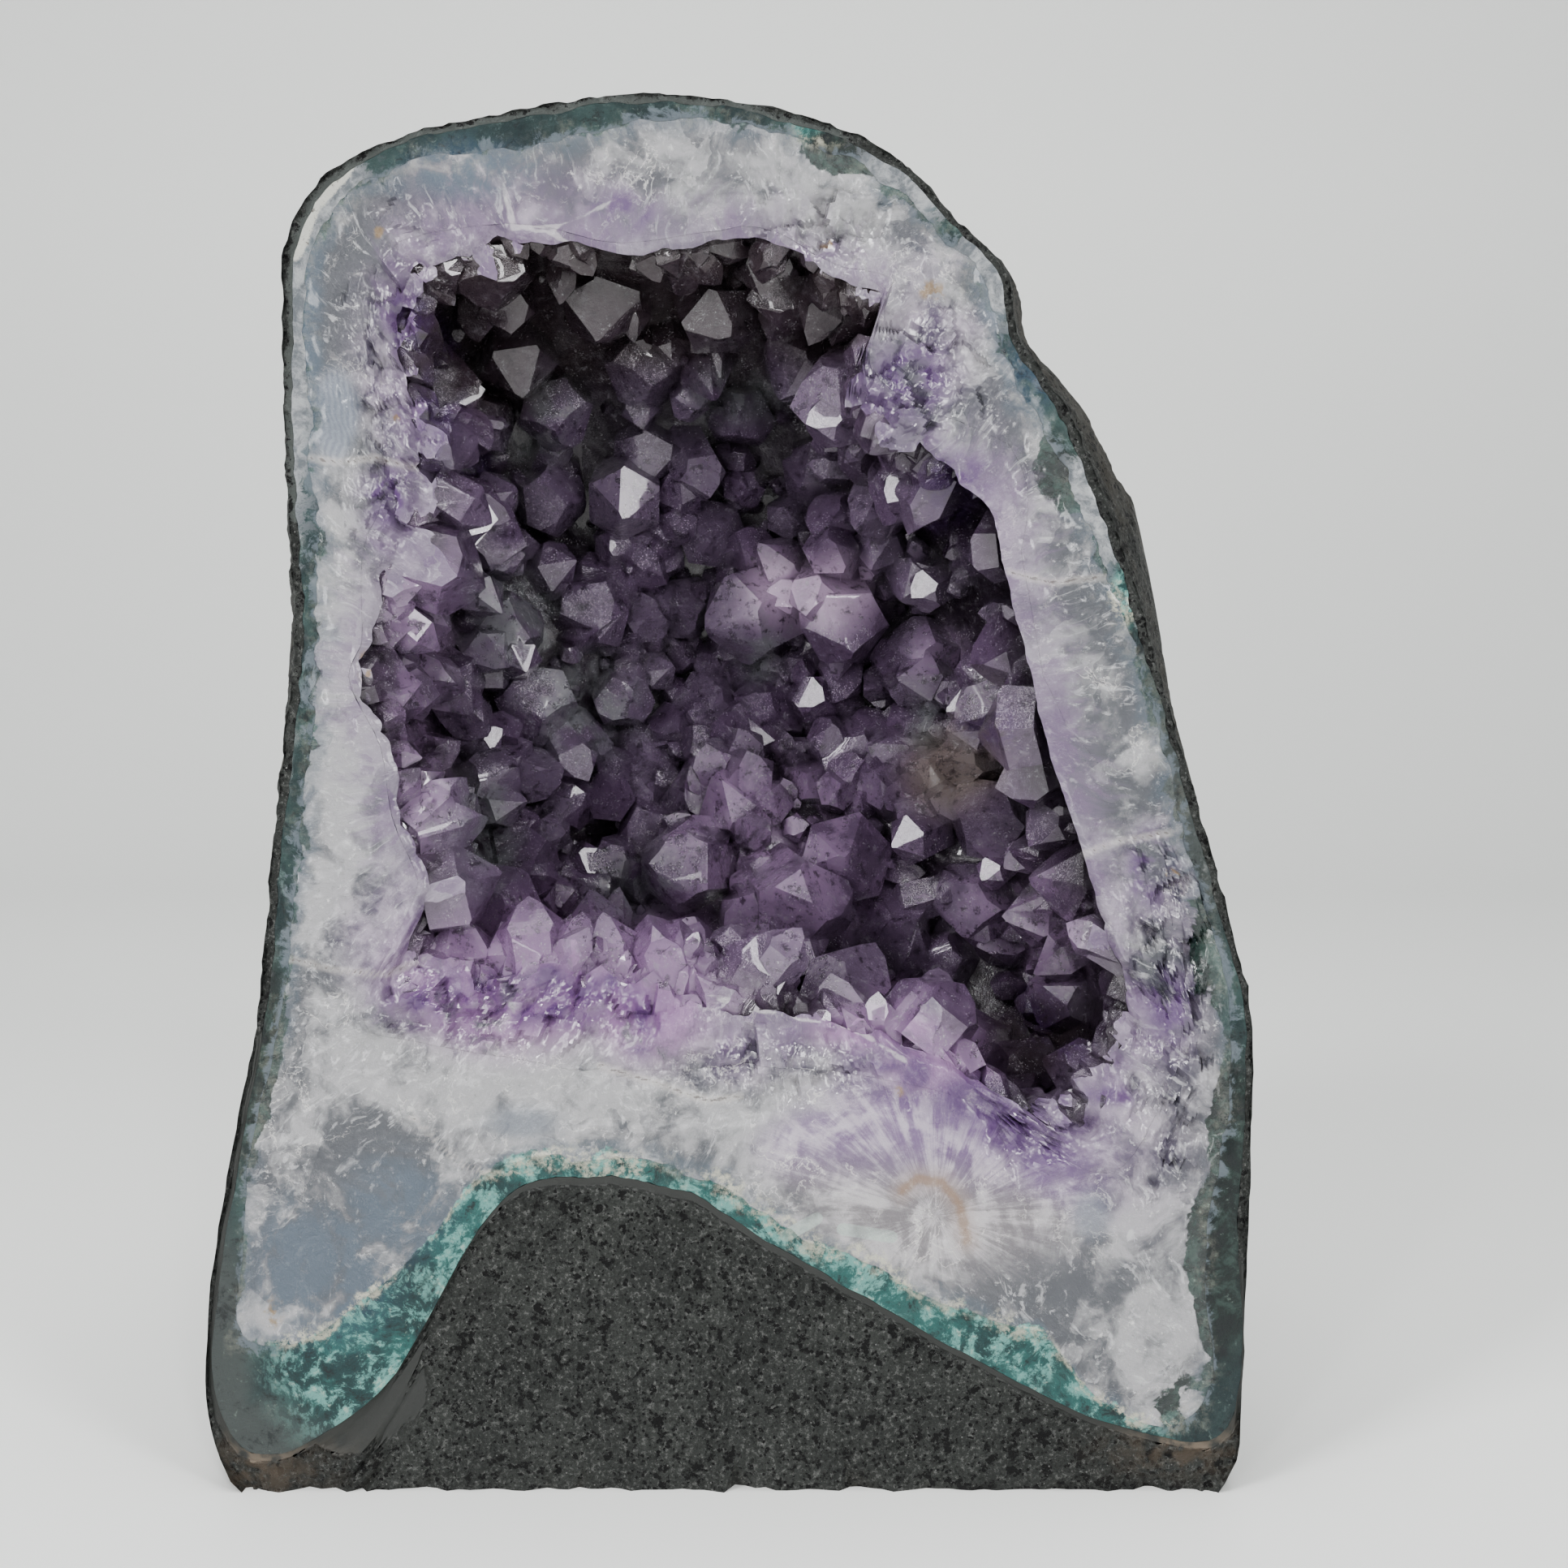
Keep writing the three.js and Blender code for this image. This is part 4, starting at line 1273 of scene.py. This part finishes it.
def quartz_rays(s, grain, colour):
    """Agate bands by the rind, the burst of rays below the hollow and thin white veins."""
    bands = s.math("SINE", s.times(s.plus(grain.from_rind, s.times(grain.cloud, 3)), 4.5))
    agate = s.mix(s.fit(bands, -1, 1), (0.17, 0.19, 0.24), (0.3, 0.32, 0.36))
    colour = s.mix(s.mark("banded", 0.35, 0.75, 0.0, 0.85), colour, agate)
    rays = s.noise(420, 6, 0.7, s.attribute("rays", "Vector"), 0.6)
    ray_shade = s.fit(s.plus(rays, s.math("SUBTRACT", grain.veil, 0.5)), 0.36, 0.66)
    violet_rays = s.mix(ray_shade, (0.14, 0.08, 0.19), (0.4, 0.35, 0.42))
    pale_rays = s.mix(ray_shade, (0.17, 0.155, 0.165), (0.4, 0.38, 0.39))
    near_core = s.most(s.mark("core", 0.2, 0.8), s.fit(grain.from_mouth, 24.0, 40.0))
    colour = s.mix(s.times(grain.burst, 0.8), colour, s.mix(near_core, violet_rays, pale_rays))
    vein = s.times(s.veins(38, 0.008, s.warped(90, 0.01)), s.fit(grain.cloud, 0.45, 0.6))
    return s.mix(s.times(vein, 0.5), colour, (0.62, 0.6, 0.58))


def quartz_by_rind(s, grain, colour):
    """Blue-grey and moss green towards the rind, and the cream crumbs."""
    edge = s.plus(grain.from_rind, s.swing(grain.veil, 16.0))
    colour = s.mix(s.fit(edge, 5.0, 0.0, 0.0, 0.6), colour, (0.06, 0.085, 0.11))
    blue = s.times(s.mark("blue", 0.1, 0.8), s.fit(grain.veil, 0.66, 0.44))
    colour = s.mix(s.times(blue, 0.85), colour, (0.065, 0.09, 0.12))
    moss, _, crumb = rind_colour(s)
    mossy = s.plus(edge, s.mark("moss", 0.1, 0.9, 0.0, -7.0))
    colour = s.mix(s.fit(mossy, 0.3, -0.6), colour, moss)
    colour = crumbs(s, colour, crumb, -3.5, 4.0)
    return colour, crumb


def quartz_by_hollow(s, grain, colour):
    """Violet and purple towards the hollow, and a few grey patches."""
    near = s.plus(grain.from_mouth, s.swing(grain.broad_fibre, 24.0))
    colour = s.mix(s.fit(near, 14.0, 2.0, 0.0, 0.5), colour, (0.19, 0.14, 0.22))
    ledge = s.times(s.mark("ledge", 0.2, 0.8), s.fit(grain.veil, 0.3, 0.5))
    colour = s.mix(s.times(ledge, 0.85), colour, (0.25, 0.135, 0.27))
    deep = s.times(s.mark("violet", 0.1, 0.9), s.fit(grain.veil, 0.36, 0.58))
    colour = s.mix(s.times(deep, 0.92), colour, (0.075, 0.033, 0.115))
    colour = s.mix(s.mark("grey", 0.1, 0.9, 0.0, 0.7), colour, (0.12, 0.14, 0.17))
    patches = s.cell_tone(170, s.warped(110, 0.006))
    at_lip = s.times(s.fit(near, 11.0, 0.0), s.fit(patches, 0.4, 0.8))
    return s.mix(s.times(at_lip, 0.6), colour, (0.12, 0.075, 0.15))


def quartz_marks(s, grain, colour):
    """Brown stains, the rust-coloured arc, pale tables, white crests and cracks."""
    stain = s.times(s.attribute("stain"), s.fit(s.noise(500, 4), 0.35, 0.6))
    colour = s.mix(s.fit(stain, 0.12, 0.6, 0.0, 0.7), colour, (0.2, 0.125, 0.045))
    wander = s.swing(grain.speck, 5.0)
    rust = s.plus(s.attribute("rust"), s.times(wander, 0.4))
    colour = s.mix(s.fit(rust, 4.0, 0.5, 0.0, 0.45), colour, (0.27, 0.21, 0.18))
    colour = s.mix(s.fit(rust, 1.4, 0.3, 0.0, 0.65), colour, (0.19, 0.115, 0.065))
    table = s.times(s.mark("pale_table", 1.3, 1.1), s.fit(grain.veil, 0.3, 0.6, 0.3, 0.7))
    colour = s.mix(table, colour, (0.33, 0.39, 0.36))
    drift = s.swing(s.noise(130, 5, 0.6), 3.0)
    crest = s.fit(s.math("ABSOLUTE", s.plus(s.attribute("crest"), drift)), 0.5, 0.1)
    colour = s.mix(s.times(crest, 0.45), colour, (0.55, 0.54, 0.53))
    crack = s.plus(s.attribute("crack"), s.times(wander, 0.3))
    colour = s.mix(s.fit(crack, 1.2, 0.2, 0.0, 0.35), colour, (0.5, 0.47, 0.44))
    return s.mix(s.fit(crack, 0.3, 0.1, 0.0, 0.7), colour, (0.08, 0.065, 0.06))


def quartz_colour(s):
    """Grey quartz, blue near the rind and violet near the hollow."""
    grain = quartz_grain(s)
    colour = quartz_rays(s, grain, quartz_body(s, grain))
    colour, crumb = quartz_by_rind(s, grain, colour)
    colour = quartz_marks(s, grain, quartz_by_hollow(s, grain, colour))
    return chip(s, colour, crumb), grain.fibre, grain.speck


def quartz_material(name):
    """Polished and cloudy, with small tipped steps where the crystals were broken."""
    s = Shading(name)
    colour, fibre, speck = quartz_colour(s)
    broken = s.mark("broken", 0.2, 0.7)
    steps = s.tipped(330, 0.35, s.tipped(900, 0.22))
    normal = s.bump(s.plus(fibre, speck), 0.0009, 0.5)
    plain = s.add("ShaderNodeMix", {0: broken, 4: normal, 5: steps}, data_type="VECTOR").outputs[1]
    rough = s.fit(speck, 0.35, 0.65, 0.1, 0.3)
    s.surface({"Base Color": colour, "Roughness": rough, "Normal": plain,
               "Subsurface Weight": 0.15, "Subsurface Radius": (0.0015, 0.0015, 0.0018),
               "Subsurface Scale": 1.0, "Coat Weight": 0.35, "Coat Roughness": 0.08, "IOR": 1.54})
    return s.material


def amethyst_material():
    s = Shading("amethyst")
    tone = s.attribute("tone")
    height = s.attribute("height")
    cloud = s.noise(140, 4, 0.6)
    veil = s.noise(420, 6, 0.7)
    # Painted shade and light: near black down in the valleys between the crystals, lighter purple towards
    # their tips
    colour = s.mix(s.fit(height, 0.0, 0.5), (0.035, 0.025, 0.035), (0.17, 0.11, 0.195))
    colour = s.mix(s.times(s.fit(tone, 0.3, 1.0), 0.5), colour, (0.27, 0.21, 0.3))
    lilac = s.times(s.attribute("lilac"), s.fit(cloud, 0.25, 0.6))
    colour = s.mix(s.fit(lilac, 0.1, 1.0, 0.0, 0.8), colour, (0.4, 0.27, 0.44))
    colour = s.mix(s.mark("pink", 0.3, 0.9, 0.0, 0.85), colour, (0.68, 0.5, 0.7))
    smoke = s.times(s.attribute("smoke"), s.fit(cloud, 0.3, 0.6))
    colour = s.mix(s.fit(smoke, 0.1, 0.9, 0.0, 0.8), colour, (0.24, 0.25, 0.265))
    colour = s.mix(s.mark("yellow", 0.2, 0.9, 0.0, 0.7), colour, (0.3, 0.25, 0.2))
    # Painted shade: dark brown-grey on the crystals under the top lip, and one patch at the lower right
    colour = s.mix(s.mark("brown", 0.1, 0.7, 0.0, 0.85), colour, (0.06, 0.042, 0.045))
    colour = s.mix(s.mark("ledge", 0.2, 0.9, 0.0, 0.85), colour, (0.36, 0.22, 0.4))
    deep = s.times(s.mark("violet", 0.2, 0.9), s.fit(veil, 0.36, 0.6))
    colour = s.mix(s.times(deep, 0.8), colour, (0.085, 0.03, 0.15))
    colour = s.mix(s.fit(veil, 0.54, 0.72, 0, 0.5), colour, (0.38, 0.36, 0.4))
    colour = s.mix(s.fit(veil, 0.48, 0.32, 0, 0.75), colour, (0.012, 0.007, 0.014))
    # Painted glints: small white flecks laid into the colour as sparkle on the crystal faces
    painted_sparkle = s.times(s.fit(s.noise(1900, 4, 0.8), 0.56, 0.64), s.fit(s.noise(260, 5, 0.7), 0.5, 0.62))
    colour = s.mix(s.times(painted_sparkle, 0.8), colour, (0.6, 0.6, 0.62))
    normal = s.tipped(300, 0.1, s.tipped(900, 0.08))
    normal = s.bump(s.noise(1500, 5, 0.75), 0.0002, 0.6, normal)
    rough = s.fit(s.noise(500, 4, 0.7), 0.45, 0.75, 0.03, 0.3)
    s.surface({"Base Color": colour, "Roughness": rough, "IOR": 1.544, "Normal": normal,
               "Transmission Weight": 0.5, "Coat Weight": 0.5, "Coat Roughness": 0.03})
    return s.material


# Putting the object together

def finish_piece(obj, node, slot_name, *materials):
    obj.data.materials.clear()
    for material in materials:
        obj.data.materials.append(material)
    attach(obj, "root")
    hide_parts(node)


def split_cut_faces(mesh):
    """Faces of the front take the second material; crystal faces stay flat."""
    cut = mesh.attributes["cut"].data
    for face in mesh.polygons:
        on_front = cut[face.index].value > 0.5
        face.material_index = int(on_front)
        face.use_smooth = on_front


basalt = make_skin()
paint_basalt(basalt)
finish_piece(basalt, "basalt_shell", "basalt", basalt_material())

rind = make_layer("green_rind_finish", rind_edge, quartz_swell, RIND_DEPTH, quartz_edge, quartz_swell,
                  QUARTZ_DEPTH, RIND_ROWS)
paint_layers(rind)
finish_piece(rind, "green_rind", "green_rind", rind_material())

quartz = make_layer("quartz_finish", quartz_edge, quartz_swell, QUARTZ_DEPTH, lining_edge, lining_swell,
                    LINING_DEPTH, QUARTZ_ROWS)
paint_layers(quartz)
finish_piece(quartz, "quartz_wall", "quartz", quartz_material("quartz"))

amethyst = make_crust()
finish_piece(amethyst, "amethyst_crust", "amethyst", amethyst_material(), quartz_material("cut_amethyst"))
paint_layers(amethyst)
paint_crystals(amethyst)
split_cut_faces(amethyst.data)
amethyst.data.set_sharp_from_angle(angle=SMOOTHING)
for obj in (basalt, rind, quartz):
    obj.data.polygons.foreach_set("use_smooth", [True] * len(obj.data.polygons))
    obj.data.set_sharp_from_angle(angle=SMOOTHING)


# Studio

def studio_floor():
    """A pale floor that curves up into the backdrop."""
    front, bend_start, bend, top, half_width = -1.2, 0.7, 0.5, 2.2, 3
    profile = [(front, 0.0), (bend_start, 0.0)]
    for a in np.linspace(0.1, math.pi / 2, 14):
        profile.append((bend_start + bend * math.sin(a), bend - bend * math.cos(a)))
    profile.append((bend_start + bend, top))
    points = [(x, y, z) for y, z in profile for x in (-half_width, half_width)]
    faces = [(2 * i, 2 * i + 1, 2 * i + 3, 2 * i + 2) for i in range(len(profile) - 1)]
    mesh = bpy.data.meshes.new("studio_floor")
    mesh.from_pydata(points, [], faces)
    mesh.polygons.foreach_set("use_smooth", [True] * len(faces))
    s = Shading("studio_floor")
    s.surface({"Base Color": (0.93, 0.94, 0.92, 1), "Roughness": 0.6})
    mesh.materials.append(s.material)
    return link("studio_floor", mesh)


def soft_light(name, place, size, power):
    """A rectangular lamp that faces the middle of the geode."""
    data = bpy.data.lights.new(name, "AREA")
    data.shape = "RECTANGLE"
    data.size, data.size_y = size
    data.energy = power
    made = bpy.data.objects.new(name, data)
    made.location = place
    made.rotation_euler = (Vector(MIDDLE_OF_GEODE) - Vector(place)).to_track_quat("-Z", "Y").to_euler()
    bpy.context.scene.collection.objects.link(made)


def studio_light():
    world = bpy.data.worlds.new("studio")
    world.use_nodes = True
    background = world.node_tree.nodes["Background"]
    background.inputs["Color"].default_value = (0.88, 0.9, 0.92, 1)
    background.inputs["Strength"].default_value = 0.3
    bpy.context.scene.world = world
    bpy.context.scene.view_settings.look = "AgX - Medium High Contrast"
    soft_light("window_left", WINDOW_LEFT, (0.36, 0.42), 9)
    soft_light("window_right", WINDOW_RIGHT, (0.25, 0.35), 5)
    soft_light("overhead", (0.0, -0.1, 1.3), (0.8, 0.6), 6)
    soft_light("strip_left", (-0.5, -1.1, 0.35), (0.08, 0.5), 2.6)
    soft_light("strip_right", (0.35, -1.2, 0.6), (0.08, 0.4), 2.6)
    soft_light("spark_high", (0.1, -1.0, 1.0), (0.12, 0.12), 2.2)
    soft_light("spark_left", (-0.9, -1.0, 0.2), (0.12, 0.16), 2)
    soft_light("spark_right", (0.9, -0.9, 0.25), (0.12, 0.16), 2)
    soft_light("low_front", (-0.1, -1.3, 0.05), (0.5, 0.06), 1)


def photo_camera():
    data = bpy.data.cameras.new("photo_view")
    data.sensor_width = 36
    data.lens = 36 * FOCAL_PX / PHOTO_SIZE
    data.clip_start = 0.01
    made = bpy.data.objects.new("photo_view", data)
    made.location = PHOTO_EYE
    made.rotation_euler = (math.pi / 2 - PITCH, 0, 0)
    bpy.context.scene.collection.objects.link(made)
    bpy.context.scene.camera = made


studio_floor()
studio_light()
photo_camera()
